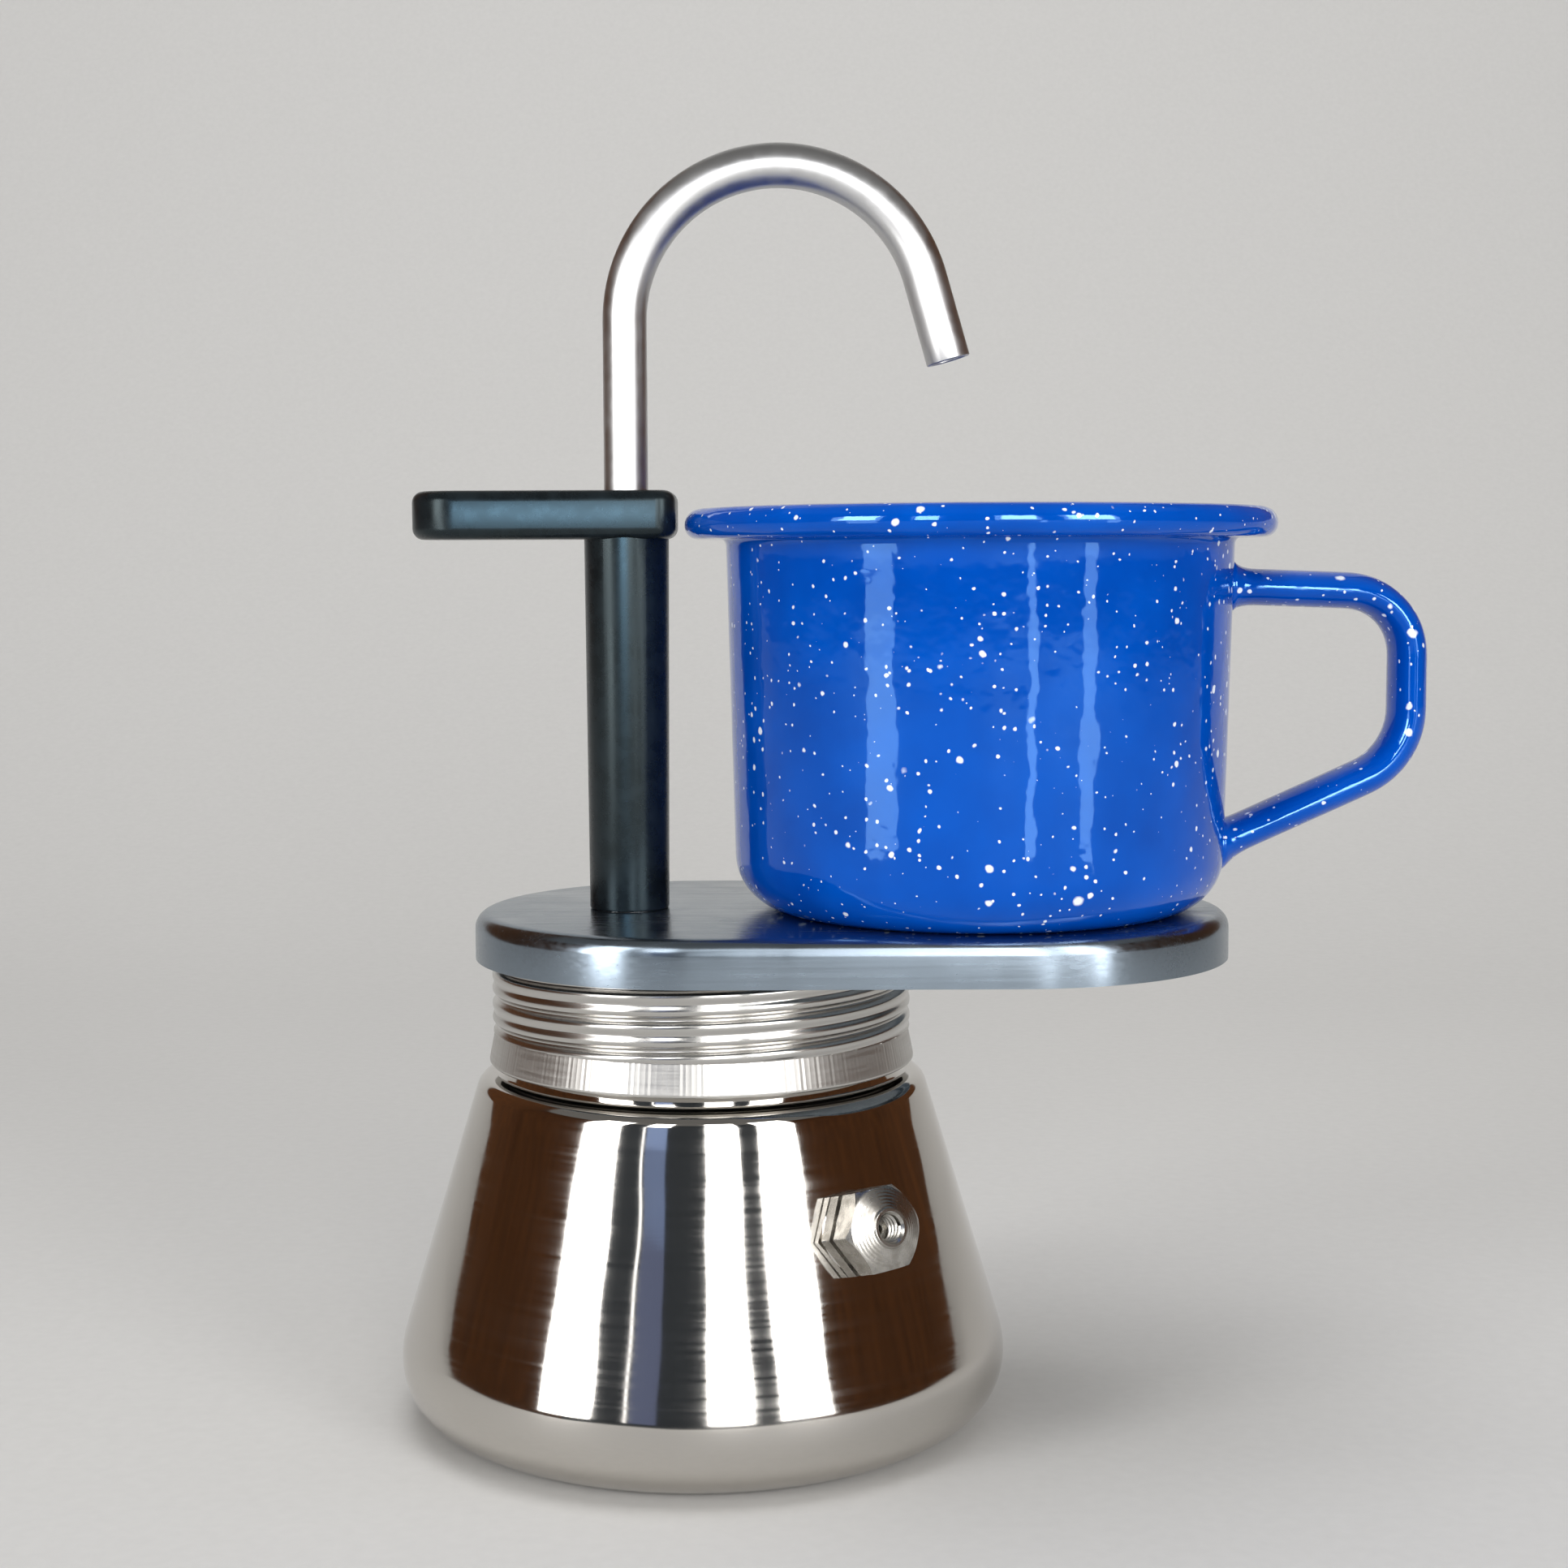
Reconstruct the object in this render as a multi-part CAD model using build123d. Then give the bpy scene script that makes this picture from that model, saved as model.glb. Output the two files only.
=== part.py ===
from build123d import *
import math
import os

# Stove-top espresso maker with a cup tray, in millimetres. +Z is up and +X points along the tray
# to the cup. The origin is the centre of the boiler's flat bottom.

# Boiler
boiler_radius = 38.2
boiler_bottom_round = 9.0
boiler_sheet = 0.8
shoulder_height = 44.0
shoulder_width = 3.37
shoulder_round = 2.0
neck_foot_round = 1.3

# Collar of the top, rolled from sheet, with its knurled hem
collar_radius = 26.4
collar_sheet = 0.8
collar_top_round = 1.0
hem_projection = 0.4
hem_height = 4.25
hem_gap = 1.65
hem_edge_chamfer = 0.3

# Rolled screw thread between the neck and the collar
thread_pitch = 3.65
thread_depth = 0.7
thread_root_width = 1.9
thread_crest_width = 0.7
thread_turns = 2.0
thread_start_angle = 236.0
thread_clearance = 0.3
thread_weld = 0.15

# Tray
tray_top = 64.6
tray_height = 5.8
tray_end_radius = 28.4
tray_straight = 38.0
tray_sheet = 0.8
tray_edge_round = 2.0

# Filter stack between the boiler's neck and the top
plate_sheet = 0.5
plate_dish_depth = 1.2
plate_dish_radius = 18.8
plate_rim_radius = 24.0
seal_thickness = 2.5
seal_inner_radius = 19.2
seal_clearance = 0.1
sieve_hole_radius = 0.7
sieve_hole_spacing = 3.0
sieve_border = 2.0

# Funnel
funnel_sheet = 0.6
funnel_rim_radius = 24.3
basket_radius = 20.6
basket_depth = 13.0
basket_ledge = 2.6
funnel_cone_height = 8.5
funnel_outlet_length = 4.0
stem_radius = 4.0
stem_sheet = 0.6
stem_floor_gap = 4.0
sieve_clearance = 0.2

# Spout, whose tip leans out from straight down
half_turn = 180.0
spout_offset = 9.0
spout_radius = 2.75
spout_sheet = 0.6
spout_bend_radius = 19.0
spout_bend_height = 137.85
spout_tip_lean = 16.0
spout_tip_length = 10.6
bush_foot_radius = 4.6
bush_foot_height = 0.5
bush_radius = 3.9
bush_height = 8.0

# Handle
sleeve_top_radius = 5.3
sleeve_foot_radius = 5.0
sleeve_foot_round = 0.4
thumb_plate_bottom = 111.0
thumb_plate_height = 6.0
thumb_plate_depth = 12.0
thumb_plate_reach = 26.7
thumb_plate_heel = 6.3
thumb_plate_corner = 2.5
thumb_plate_edge_round = 1.4

# Safety valve
valve_azimuth = 36.1
valve_height = 29.6
valve_boss_radius = 5.8
valve_boss_depth = 1.6
valve_stem_radius = 3.4
valve_stem_length = 7.0
valve_stem_clearance = 0.1
valve_flats = 9.5
valve_hex_turn = 3.0
valve_flange = 1.6
valve_groove = 0.8
valve_groove_radius = 4.2
valve_head = 4.2
valve_face_radius = 4.75
valve_face_drop = 1.0
valve_corner_drop = 0.5
valve_crown_radius = 2.3
valve_bore_radius = 1.6
valve_bore_chamfer = 0.3
valve_port_radius = 0.9
valve_seat_depth = 5.6
valve_gasket_thickness = 0.8
valve_washer_thickness = 0.5
valve_ring_radius = 5.2
valve_nut_thickness = 2.4
valve_nut_flats = 9.0
poppet_radius = 1.3
poppet_height = 1.2
poppet_guide_radius = 0.6
poppet_guide_height = 0.8
adjuster_depth = 4.4
adjuster_length = 1.6
adjuster_hole_radius = 0.7
spring_wire_radius = 0.18
spring_radius = 1.0
spring_turns = 7

# Cup
cup_gap = 0.95
cup_height = 50.3
cup_top_radius = 31.65
cup_foot_side_radius = 30.4
cup_corner_round = 7.0
cup_sheet = 1.1
cup_foot_recess = 0.5
cup_foot_recess_radius = 20.0
cup_rim_reach = 5.1
cup_rim_height = 3.9
cup_handle_top = 40.1
cup_handle_foot = 8.3
cup_handle_drop = 0.9
cup_handle_elbow = 19.4
cup_handle_reach = 53.9
cup_handle_thickness = 4.5
cup_handle_width = 9.2
cup_handle_top_round = 7.5
cup_handle_foot_round = 6.0

# Sizes that follow from those above
collar_inner_radius = collar_radius - collar_sheet
collar_crest_radius = collar_inner_radius - thread_depth
neck_radius = collar_crest_radius - thread_clearance
neck_crest_radius = neck_radius + thread_depth
hem_radius = collar_radius + hem_projection
bottom_round_radius = boiler_radius - boiler_bottom_round
wall_run = neck_radius + shoulder_width - bottom_round_radius
wall_rise = shoulder_height - boiler_bottom_round
cone = math.atan2(wall_rise, wall_run) - math.acos(boiler_bottom_round / math.hypot(wall_run, wall_rise))
collar_bottom = shoulder_height + hem_gap
hem_top = collar_bottom + hem_height
thread_start = hem_top + thread_root_width / 2
collar_top = tray_top - tray_sheet
ceiling = collar_top - collar_sheet
seal_top = ceiling - plate_sheet
seal_bottom = seal_top - seal_thickness
neck_top = seal_bottom - funnel_sheet
basket_floor = seal_bottom - basket_depth
sleeve_bottom = tray_top + bush_foot_height
cup_rim_radius = cup_top_radius + cup_rim_reach
cup_rim_middle = cup_height - cup_rim_height / 2
cup_offset = thumb_plate_heel - spout_offset + cup_gap + cup_rim_radius


def turned(*outline):
    """Solid of revolution about Z from a closed outline of (radius, height) points."""
    return revolve(Plane.XZ * make_face(Polyline(*outline, close=True)), Axis.Z)


def tube(inner, outer, bottom, top):
    """Plain round tube on the Z axis."""
    return turned((inner, bottom), (outer, bottom), (outer, top), (inner, top))


def hexagon(flats, bottom, top, turn=0.0):
    """Hexagonal bar on the Z axis, given across its flats."""
    corner_radius = flats / math.sqrt(3)
    section = RegularPolygon(corner_radius, 6, rotation=turn)
    return Pos(0, 0, bottom) * extrude(section, top - bottom)


def thread(root_radius, crest_radius, start):
    """Helical ridge or groove, with its root a little inside the wall that it joins."""
    outward = math.copysign(1.0, crest_radius - root_radius)
    buried = root_radius - outward * thread_weld
    root = thread_root_width / 2
    crest = thread_crest_width / 2
    section = Plane.XZ * make_face(
        Polyline((buried, -root), (root_radius, -root), (crest_radius, -crest),
                 (crest_radius, crest), (root_radius, root), (buried, root), close=True)
    )
    path = Helix(thread_pitch, thread_pitch * thread_turns, root_radius)
    ridge = sweep(section, path=path, is_frenet=True)
    return Pos(0, 0, start) * Rot(0, 0, thread_start_angle) * ridge


def perforated(disc_radius, bottom, top):
    """Holes of a sieve: drills on a hexagonal grid, clear of the disc's border."""
    rows = int(disc_radius / sieve_hole_spacing) + 1
    places = []
    for row in range(-rows, rows + 1):
        for column in range(-2 * rows, 2 * rows + 1):
            x = sieve_hole_spacing * (column + 0.5 * (row % 2))
            y = sieve_hole_spacing * row * math.sqrt(3) / 2
            if math.hypot(x, y) <= disc_radius - sieve_border:
                places.append((x, y))
    drills = Locations([(x, y, bottom) for x, y in places])
    drill = Cylinder(sieve_hole_radius, top - bottom, align=(Align.CENTER, Align.CENTER, Align.MIN))
    return [place * drill for place in drills]


def cone_radius(height, inset):
    """Radius of the boiler's straight wall at a height, outside or inset from it."""
    rise = height - boiler_bottom_round
    return bottom_round_radius + (boiler_bottom_round - inset - rise * math.sin(cone)) / math.cos(cone)


def boiler_form(inset, top):
    """The boiler's outside, or with an inset its inside, as a solid."""
    shoulder = shoulder_height - inset
    neck = neck_radius - inset
    wall = FilletPolyline(
        (0, inset), (cone_radius(inset, inset), inset), (cone_radius(shoulder, inset), shoulder),
        (neck, shoulder), (neck, top),
        radius=[boiler_bottom_round - inset, shoulder_round - inset, neck_foot_round + inset],
    )
    closing = Polyline((neck, top), (0, top), (0, inset))
    return revolve(Plane.XZ * make_face(wall.edges() + closing.edges()), Axis.Z)


def valve_plane():
    """Frame on the boiler's wall, with Z out along the valve."""
    turn = math.radians(valve_azimuth)
    wall = cone_radius(valve_height, 0)
    across = (math.sin(turn), -math.cos(turn))
    origin = (wall * across[0], wall * across[1], valve_height)
    out = (across[0] * math.cos(cone), across[1] * math.cos(cone), math.sin(cone))
    return Plane(origin, x_dir=(math.cos(turn), math.sin(turn), 0), z_dir=out)


def make_boiler_shell():
    shell = boiler_form(0, neck_top) - boiler_form(boiler_sheet, neck_top + boiler_sheet)
    shell += thread(neck_radius, neck_crest_radius, thread_start - thread_pitch / 2)
    boss = valve_plane() * tube(0, valve_boss_radius, -valve_boss_depth, 0)
    hole_radius = valve_stem_radius + valve_stem_clearance
    hole = valve_plane() * tube(0, hole_radius, -2 * valve_boss_depth, boiler_sheet)
    return shell + boss - hole


def make_valve_body():
    head_bottom = valve_flange + valve_groove
    face = head_bottom + valve_head
    corner_radius = valve_flats / math.sqrt(3)
    form = turned(
        (0, -valve_stem_length), (valve_stem_radius, -valve_stem_length), (valve_stem_radius, 0),
        (corner_radius, 0), (corner_radius, valve_flange), (valve_groove_radius, valve_flange),
        (valve_groove_radius, head_bottom), (corner_radius, head_bottom),
        (corner_radius, face - valve_face_drop - valve_corner_drop),
        (valve_face_radius, face - valve_face_drop), (valve_crown_radius, face), (0, face),
    )
    body = form & hexagon(valve_flats, -valve_stem_length, face, valve_hex_turn)
    mouth_radius = valve_bore_radius + valve_bore_chamfer
    bore = turned(
        (0, -valve_seat_depth), (valve_bore_radius, -valve_seat_depth),
        (valve_bore_radius, face - valve_bore_chamfer), (mouth_radius, face), (0, face),
    )
    port = tube(0, valve_port_radius, -valve_stem_length, -valve_seat_depth)
    return valve_plane() * (body - bore - port)


def make_valve_gasket():
    bottom = -valve_boss_depth - valve_gasket_thickness
    return valve_plane() * tube(valve_stem_radius, valve_ring_radius, bottom, -valve_boss_depth)


def make_valve_washer():
    top = -valve_boss_depth - valve_gasket_thickness
    return valve_plane() * tube(valve_stem_radius, valve_ring_radius, top - valve_washer_thickness, top)


def make_valve_nut():
    top = -valve_boss_depth - valve_gasket_thickness - valve_washer_thickness
    nut = hexagon(valve_nut_flats, top - valve_nut_thickness, top)
    return valve_plane() * (nut - tube(0, valve_stem_radius, top - valve_nut_thickness, top))


def make_valve_poppet():
    shoulder = poppet_height - valve_seat_depth
    disc = tube(0, poppet_radius, -valve_seat_depth, shoulder)
    guide = tube(0, poppet_guide_radius, shoulder, shoulder + poppet_guide_height)
    return valve_plane() * (disc + guide)


def make_valve_adjuster():
    top = valve_flange + valve_groove + valve_head - adjuster_depth + adjuster_length
    return valve_plane() * tube(adjuster_hole_radius, valve_bore_radius, top - adjuster_length, top)


def make_valve_spring():
    bottom = poppet_height - valve_seat_depth + spring_wire_radius
    top = valve_flange + valve_groove + valve_head - adjuster_depth - spring_wire_radius
    pitch = (top - bottom) / spring_turns
    print("valve spring, gap between turns:", round(pitch - 2 * spring_wire_radius, 3), "mm")
    path = Helix(pitch, top - bottom, spring_radius)
    wire = sweep(Plane(path @ 0, z_dir=path % 0) * Circle(spring_wire_radius), path=path, is_frenet=True)
    return valve_plane() * (Pos(0, 0, bottom) * wire)


def make_funnel_cup():
    inner = basket_radius - funnel_sheet
    ledge_radius = inner - basket_ledge
    outlet = stem_radius
    cone_bottom = basket_floor - funnel_cone_height
    under = funnel_sheet
    return turned(
        (inner, seal_bottom), (funnel_rim_radius, seal_bottom), (funnel_rim_radius, neck_top),
        (basket_radius, neck_top), (basket_radius, basket_floor - under), (ledge_radius, basket_floor - under),
        (outlet + under, cone_bottom), (outlet + under, cone_bottom - funnel_outlet_length),
        (outlet, cone_bottom - funnel_outlet_length), (outlet, cone_bottom + under),
        (ledge_radius, basket_floor), (inner, basket_floor),
    )


def make_funnel_stem():
    top = basket_floor - funnel_cone_height
    return tube(stem_radius - stem_sheet, stem_radius, stem_floor_gap, top)


def make_funnel_sieve():
    radius = basket_radius - funnel_sheet - sieve_clearance
    top = basket_floor + plate_sheet
    return tube(0, radius, basket_floor, top) - perforated(radius - basket_ledge, basket_floor, top)


def make_collar():
    skirt = turned(
        (collar_inner_radius, collar_bottom), (hem_radius - hem_edge_chamfer, collar_bottom),
        (hem_radius, collar_bottom + hem_edge_chamfer), (hem_radius, hem_top - hem_projection),
        (collar_radius, hem_top), (collar_radius, collar_top - collar_top_round),
        (collar_radius - collar_top_round, collar_top), (0, collar_top), (0, ceiling),
        (collar_inner_radius, ceiling),
    )
    skirt += thread(collar_inner_radius, collar_crest_radius, thread_start)
    skirt -= thread(collar_radius, collar_radius - thread_depth, thread_start)
    return skirt - Pos(-spout_offset, 0, 0) * tube(0, spout_radius, ceiling, collar_top)


def make_seal_ring():
    return tube(seal_inner_radius, collar_inner_radius - seal_clearance, seal_bottom, seal_top)


def make_filter_plate():
    floor = ceiling - plate_dish_depth - plate_sheet
    inner = plate_dish_radius - plate_sheet
    dish = turned(
        (0, floor), (plate_dish_radius, floor), (plate_dish_radius, seal_top), (plate_rim_radius, seal_top),
        (plate_rim_radius, ceiling), (inner, ceiling), (inner, floor + plate_sheet), (0, floor + plate_sheet),
    )
    return dish - perforated(inner, floor, floor + plate_sheet)


def tray_form(inset, bottom, top, edge_round):
    """Long round-ended block, rounded along its top edge."""
    length = tray_straight + 2 * (tray_end_radius - inset)
    section = Pos(tray_straight / 2, 0, bottom) * SlotOverall(length, 2 * (tray_end_radius - inset))
    block = extrude(section, top - bottom)
    return fillet(block.faces().sort_by(Axis.Z)[-1].edges(), edge_round)


def make_cup_tray():
    bottom = tray_top - tray_height
    pan = tray_form(0, bottom, tray_top, tray_edge_round)
    pan -= tray_form(tray_sheet, bottom, tray_top - tray_sheet, tray_edge_round - tray_sheet)
    return pan - Pos(-spout_offset, 0, 0) * tube(0, spout_radius, bottom, tray_top)


def make_spout_bush():
    bush = tube(spout_radius, bush_foot_radius, tray_top, sleeve_bottom)
    bush += tube(spout_radius, bush_radius, sleeve_bottom, tray_top + bush_height)
    return Pos(-spout_offset, 0, 0) * bush


def make_spout_tube():
    riser = Line((-spout_offset, ceiling), (-spout_offset, spout_bend_height))
    bend = JernArc(riser @ 1, riser % 1, spout_bend_radius, spout_tip_lean - half_turn)
    tip = Line(bend @ 1, bend @ 1 + (bend % 1) * spout_tip_length)
    path = Plane.XZ * (riser + bend + tip)
    section = Circle(spout_radius) - Circle(spout_radius - spout_sheet)
    return sweep(Pos(-spout_offset, 0, ceiling) * section, path=path)


def make_handle_grip():
    plate_top = thumb_plate_bottom + thumb_plate_height
    end_radius = thumb_plate_depth / 2
    length = thumb_plate_reach + thumb_plate_heel - end_radius
    plan = Rectangle(length, thumb_plate_depth, align=(Align.MAX, Align.CENTER))
    plan = fillet(plan.vertices().group_by(Axis.X)[-1], thumb_plate_corner)
    plan = Pos(thumb_plate_heel, 0) * plan + Pos(end_radius - thumb_plate_reach, 0) * Circle(end_radius)
    plate = Pos(0, 0, thumb_plate_bottom) * extrude(plan, thumb_plate_height)
    rims = plate.faces().sort_by(Axis.Z)
    plate = fillet(rims[0].edges() + rims[-1].edges(), thumb_plate_edge_round)
    sleeve = turned(
        (0, sleeve_bottom), (sleeve_foot_radius - sleeve_foot_round, sleeve_bottom),
        (sleeve_foot_radius, sleeve_bottom + sleeve_foot_round),
        (sleeve_top_radius, thumb_plate_bottom + thumb_plate_edge_round),
        (0, thumb_plate_bottom + thumb_plate_edge_round),
    )
    bore = tube(0, spout_radius, sleeve_bottom, plate_top)
    counterbore = tube(0, bush_radius, sleeve_bottom, tray_top + bush_height)
    return Pos(-spout_offset, 0, 0) * (plate + sleeve - bore - counterbore)


def cup_form(inset):
    """The cup's outside below its rim, or with an inset its inside, as a solid standing at Z 0."""
    wall = FilletPolyline(
        (0, inset), (cup_foot_side_radius - inset, inset), (cup_top_radius - inset, cup_rim_middle),
        (0, cup_rim_middle),
        radius=[cup_corner_round - inset, 0],
    )
    closing = Line((0, cup_rim_middle), (0, inset))
    return revolve(Plane.XZ * make_face(wall.edges() + closing.edges()), Axis.Z)


def make_cup_body():
    rim_inner = cup_top_radius - cup_sheet
    bead_section = SlotOverall(cup_rim_radius - rim_inner, cup_rim_height)
    bead_place = Pos((rim_inner + cup_rim_radius) / 2, cup_rim_middle)
    bead = revolve(Plane.XZ * (bead_place * bead_section), Axis.Z)
    body = cup_form(0) - cup_form(cup_sheet)
    body -= tube(0, cup_foot_recess_radius, 0, cup_foot_recess)
    return Pos(cup_offset, 0, tray_top) * (body + bead)


def make_cup_handle():
    inside = cup_top_radius - cup_sheet
    path = FilletPolyline(
        (inside, cup_handle_top), (cup_handle_reach, cup_handle_top - cup_handle_drop),
        (cup_handle_reach, cup_handle_elbow), (cup_foot_side_radius - cup_sheet, cup_handle_foot),
        radius=[cup_handle_top_round, cup_handle_foot_round],
    )
    path = Plane.XZ * path
    section = Ellipse(cup_handle_width / 2, cup_handle_thickness / 2)
    strap = sweep(Plane(path @ 0, x_dir=(0, 1, 0), z_dir=path % 0) * section, path=path)
    return Pos(cup_offset, 0, tray_top) * (strap - cup_form(0))


pieces = {
    "boiler_shell": make_boiler_shell,
    "valve_body": make_valve_body,
    "valve_gasket": make_valve_gasket,
    "valve_washer": make_valve_washer,
    "valve_nut": make_valve_nut,
    "valve_poppet": make_valve_poppet,
    "valve_spring": make_valve_spring,
    "valve_adjuster": make_valve_adjuster,
    "funnel_cup": make_funnel_cup,
    "funnel_stem": make_funnel_stem,
    "funnel_sieve": make_funnel_sieve,
    "collar": make_collar,
    "seal_ring": make_seal_ring,
    "filter_plate": make_filter_plate,
    "cup_tray": make_cup_tray,
    "spout_bush": make_spout_bush,
    "spout_tube": make_spout_tube,
    "handle_grip": make_handle_grip,
    "cup_body": make_cup_body,
    "cup_handle": make_cup_handle,
}

os.makedirs("parts", exist_ok=True)
for name, make in pieces.items():
    solid = make()
    solid.label = name
    export_step(solid, f"parts/{name}.step")
    print(name, round(solid.volume, 1), "mm3")
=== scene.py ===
# %% [markdown]
# A stove-top espresso maker with its enamel cup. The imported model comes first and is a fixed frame:
# each piece made here takes the place of one of its solids and moves with the same body.
# Blender works in metres, and the sizes below are written in millimetres, as on a drawing.

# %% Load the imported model
import bpy
import math
from mathutils import Matrix, Vector


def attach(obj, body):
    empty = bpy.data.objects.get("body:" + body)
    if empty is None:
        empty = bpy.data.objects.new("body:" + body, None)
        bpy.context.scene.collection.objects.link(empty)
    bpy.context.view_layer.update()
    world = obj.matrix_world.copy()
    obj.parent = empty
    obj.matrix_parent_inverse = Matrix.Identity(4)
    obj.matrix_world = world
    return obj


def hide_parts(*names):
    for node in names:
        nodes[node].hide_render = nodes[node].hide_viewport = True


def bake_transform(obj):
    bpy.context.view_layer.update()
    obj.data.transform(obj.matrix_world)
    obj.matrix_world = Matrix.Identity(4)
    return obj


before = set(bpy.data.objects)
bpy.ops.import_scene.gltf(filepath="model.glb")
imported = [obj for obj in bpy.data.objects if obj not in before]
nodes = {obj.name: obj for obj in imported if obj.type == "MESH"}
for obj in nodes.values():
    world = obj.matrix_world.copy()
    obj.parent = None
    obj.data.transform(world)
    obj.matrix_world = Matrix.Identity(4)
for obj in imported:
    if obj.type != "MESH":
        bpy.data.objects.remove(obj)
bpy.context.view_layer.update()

MM = 0.001

# %% [markdown]
# The camera stands about 30 cm in front of the object and 45 mm above the tray, and looks slightly
# down. So close, the near side of the tray looks larger than the far side. A long lens from further
# away would flatten that, so both the distance and the lens matter here.

# %% Camera
PHOTO_WIDTH = 1932
FOCAL_PIXELS = 3100
SENSOR = 36.0
CAMERA_PLACE = (10.56, -316.0, 108.3)
LOOK_DOWN = 5.08
CAMERA_ROLL = -0.22

bpy.ops.object.select_all(action="DESELECT")
bpy.ops.object.camera_add()
camera = bpy.context.object
camera.name = "camera"
camera.data.sensor_width = SENSOR
camera.data.lens = FOCAL_PIXELS / PHOTO_WIDTH * SENSOR
camera.data.clip_start = 0.01
stand = Matrix.Translation([c * MM for c in CAMERA_PLACE])
tilt = Matrix.Rotation(math.radians(90 - LOOK_DOWN), 4, "X")
roll = Matrix.Rotation(math.radians(CAMERA_ROLL), 4, "Z")
camera.matrix_world = stand @ tilt @ roll
bpy.context.scene.camera = camera
print("lens", round(camera.data.lens, 2), "mm")

# %% [markdown]
# Modelling by hand in Blender means: add a primitive, go to edit mode, select something, use a tool.
# A tool acts on all that is selected, so these helpers leave nothing selected by accident, and pick
# points by their place.

# %% Helpers for working by hand
MERGE_DISTANCE = 0.002


def put_down():
    """Leave edit mode and deselect everything."""
    if bpy.context.mode != "OBJECT":
        bpy.ops.object.mode_set(mode="OBJECT")
    bpy.ops.object.select_all(action="DESELECT")


def take(piece):
    """Make a piece the only one that is selected and active."""
    put_down()
    piece.select_set(True)
    bpy.context.view_layer.objects.active = piece


def pick(piece, wanted):
    """Open a piece in edit mode with the points selected whose place in millimetres is wanted."""
    take(piece)
    for group in (piece.data.polygons, piece.data.edges, piece.data.vertices):
        group.foreach_set("select", [False] * len(group))
    for point in piece.data.vertices:
        point.select = wanted(point.co / MM)
    bpy.context.tool_settings.mesh_select_mode = (True, False, False)
    bpy.ops.object.mode_set(mode="EDIT")


def pick_lines(piece, wanted):
    """Open a piece in edit mode with the edges selected whose two ends in millimetres are wanted."""
    pick(piece, lambda p: False)
    bpy.ops.object.mode_set(mode="OBJECT")
    points = piece.data.vertices
    for edge in piece.data.edges:
        start, end = (points[i].co / MM for i in edge.vertices)
        edge.select = wanted(start, end)
    bpy.context.tool_settings.mesh_select_mode = (False, True, False)
    bpy.ops.object.mode_set(mode="EDIT")


def settle(piece):
    """Put a piece's place, turn and size into its mesh."""
    take(piece)
    bpy.ops.object.transform_apply(location=True, rotation=True, scale=True)


def apply_modifier(piece, kind, **settings):
    """Add a modifier with its settings and apply it."""
    take(piece)
    made = piece.modifiers.new(kind.lower(), kind)
    for key, value in settings.items():
        setattr(made, key, value)
    bpy.ops.object.modifier_apply(modifier=made.name)


def close_up(piece):
    """Merge doubled points and turn all faces outwards."""
    pick(piece, lambda p: True)
    bpy.ops.mesh.remove_doubles(threshold=MERGE_DISTANCE * MM)
    bpy.ops.mesh.normals_make_consistent(inside=False)
    put_down()


def smooth(piece, angle=35.0):
    """Shade a piece smooth, except over edges sharper than the angle."""
    take(piece)
    bpy.ops.object.shade_smooth_by_angle(angle=math.radians(angle))


def join(piece, *others):
    """Join other meshes into a piece."""
    take(piece)
    for other in others:
        other.select_set(True)
    bpy.ops.object.join()


def extrude(move):
    """Extrude what is selected, by a move in metres."""
    bpy.ops.mesh.extrude_region_move(TRANSFORM_OT_translate={"value": move})


def draw_outline(name, points):
    """Draw an outline in the XZ plane: one point, extruded on to each next (x, z) in millimetres."""
    put_down()
    start = points[0]
    bpy.ops.mesh.primitive_plane_add(size=MM, location=(start[0] * MM, 0, start[1] * MM))
    piece = bpy.context.object
    piece.name = name
    bpy.context.tool_settings.mesh_select_mode = (True, False, False)
    bpy.ops.object.mode_set(mode="EDIT")
    bpy.ops.mesh.select_all(action="SELECT")
    bpy.ops.mesh.merge(type="CENTER")
    for here, there in zip(points, points[1:]):
        extrude(((there[0] - here[0]) * MM, 0, (there[1] - here[1]) * MM))
    settle(piece)
    return piece


def round_corner(piece, corner, radius, segments):
    """Round one corner of a drawn outline."""
    place = Vector((corner[0], 0, corner[1]))
    nearest = min(piece.data.vertices, key=lambda v: (v.co / MM - place).length)
    arms = []
    for edge in piece.data.edges:
        if nearest.index in edge.vertices:
            other = edge.vertices[1] if edge.vertices[0] == nearest.index else edge.vertices[0]
            arms.append(piece.data.vertices[other].co - nearest.co)
    turn = math.pi - arms[0].angle(arms[1])
    spot = nearest.co / MM
    pick(piece, lambda p: (p - spot).length < 1e-3)
    bpy.ops.mesh.bevel(offset=radius * math.tan(turn / 2) * MM, segments=segments, affect="VERTICES")
    put_down()


def cut_long_lines(piece, longest, cuts):
    """Divide the lines of an outline that are longer than a length."""
    pick_lines(piece, lambda a, b: (a - b).length > longest)
    bpy.ops.mesh.subdivide(number_cuts=cuts)
    put_down()


def spin_round(piece, steps):
    """Spin a drawn outline once round Z."""
    pick(piece, lambda p: True)
    bpy.ops.mesh.spin(steps=steps, angle=2 * math.pi, center=(0, 0, 0), axis=(0, 0, 1))
    close_up(piece)


def report(piece):
    """Print how many faces a piece has and its box in millimetres."""
    corners = [piece.matrix_world @ Vector(c) / MM for c in piece.bound_box]
    low = [round(min(c[i] for c in corners), 2) for i in range(3)]
    high = [round(max(c[i] for c in corners), 2) for i in range(3)]
    print(piece.name, len(piece.data.polygons), "faces, from", low, "to", high)


# %% [markdown]
# The boiler is one cup of stainless steel, pressed and then spun to a cone with a narrow neck. A lathe
# form could also come from a Screw modifier, but spinning a drawn wall section gives the sheet's
# thickness, the rounds and the open mouth at once.

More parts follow.
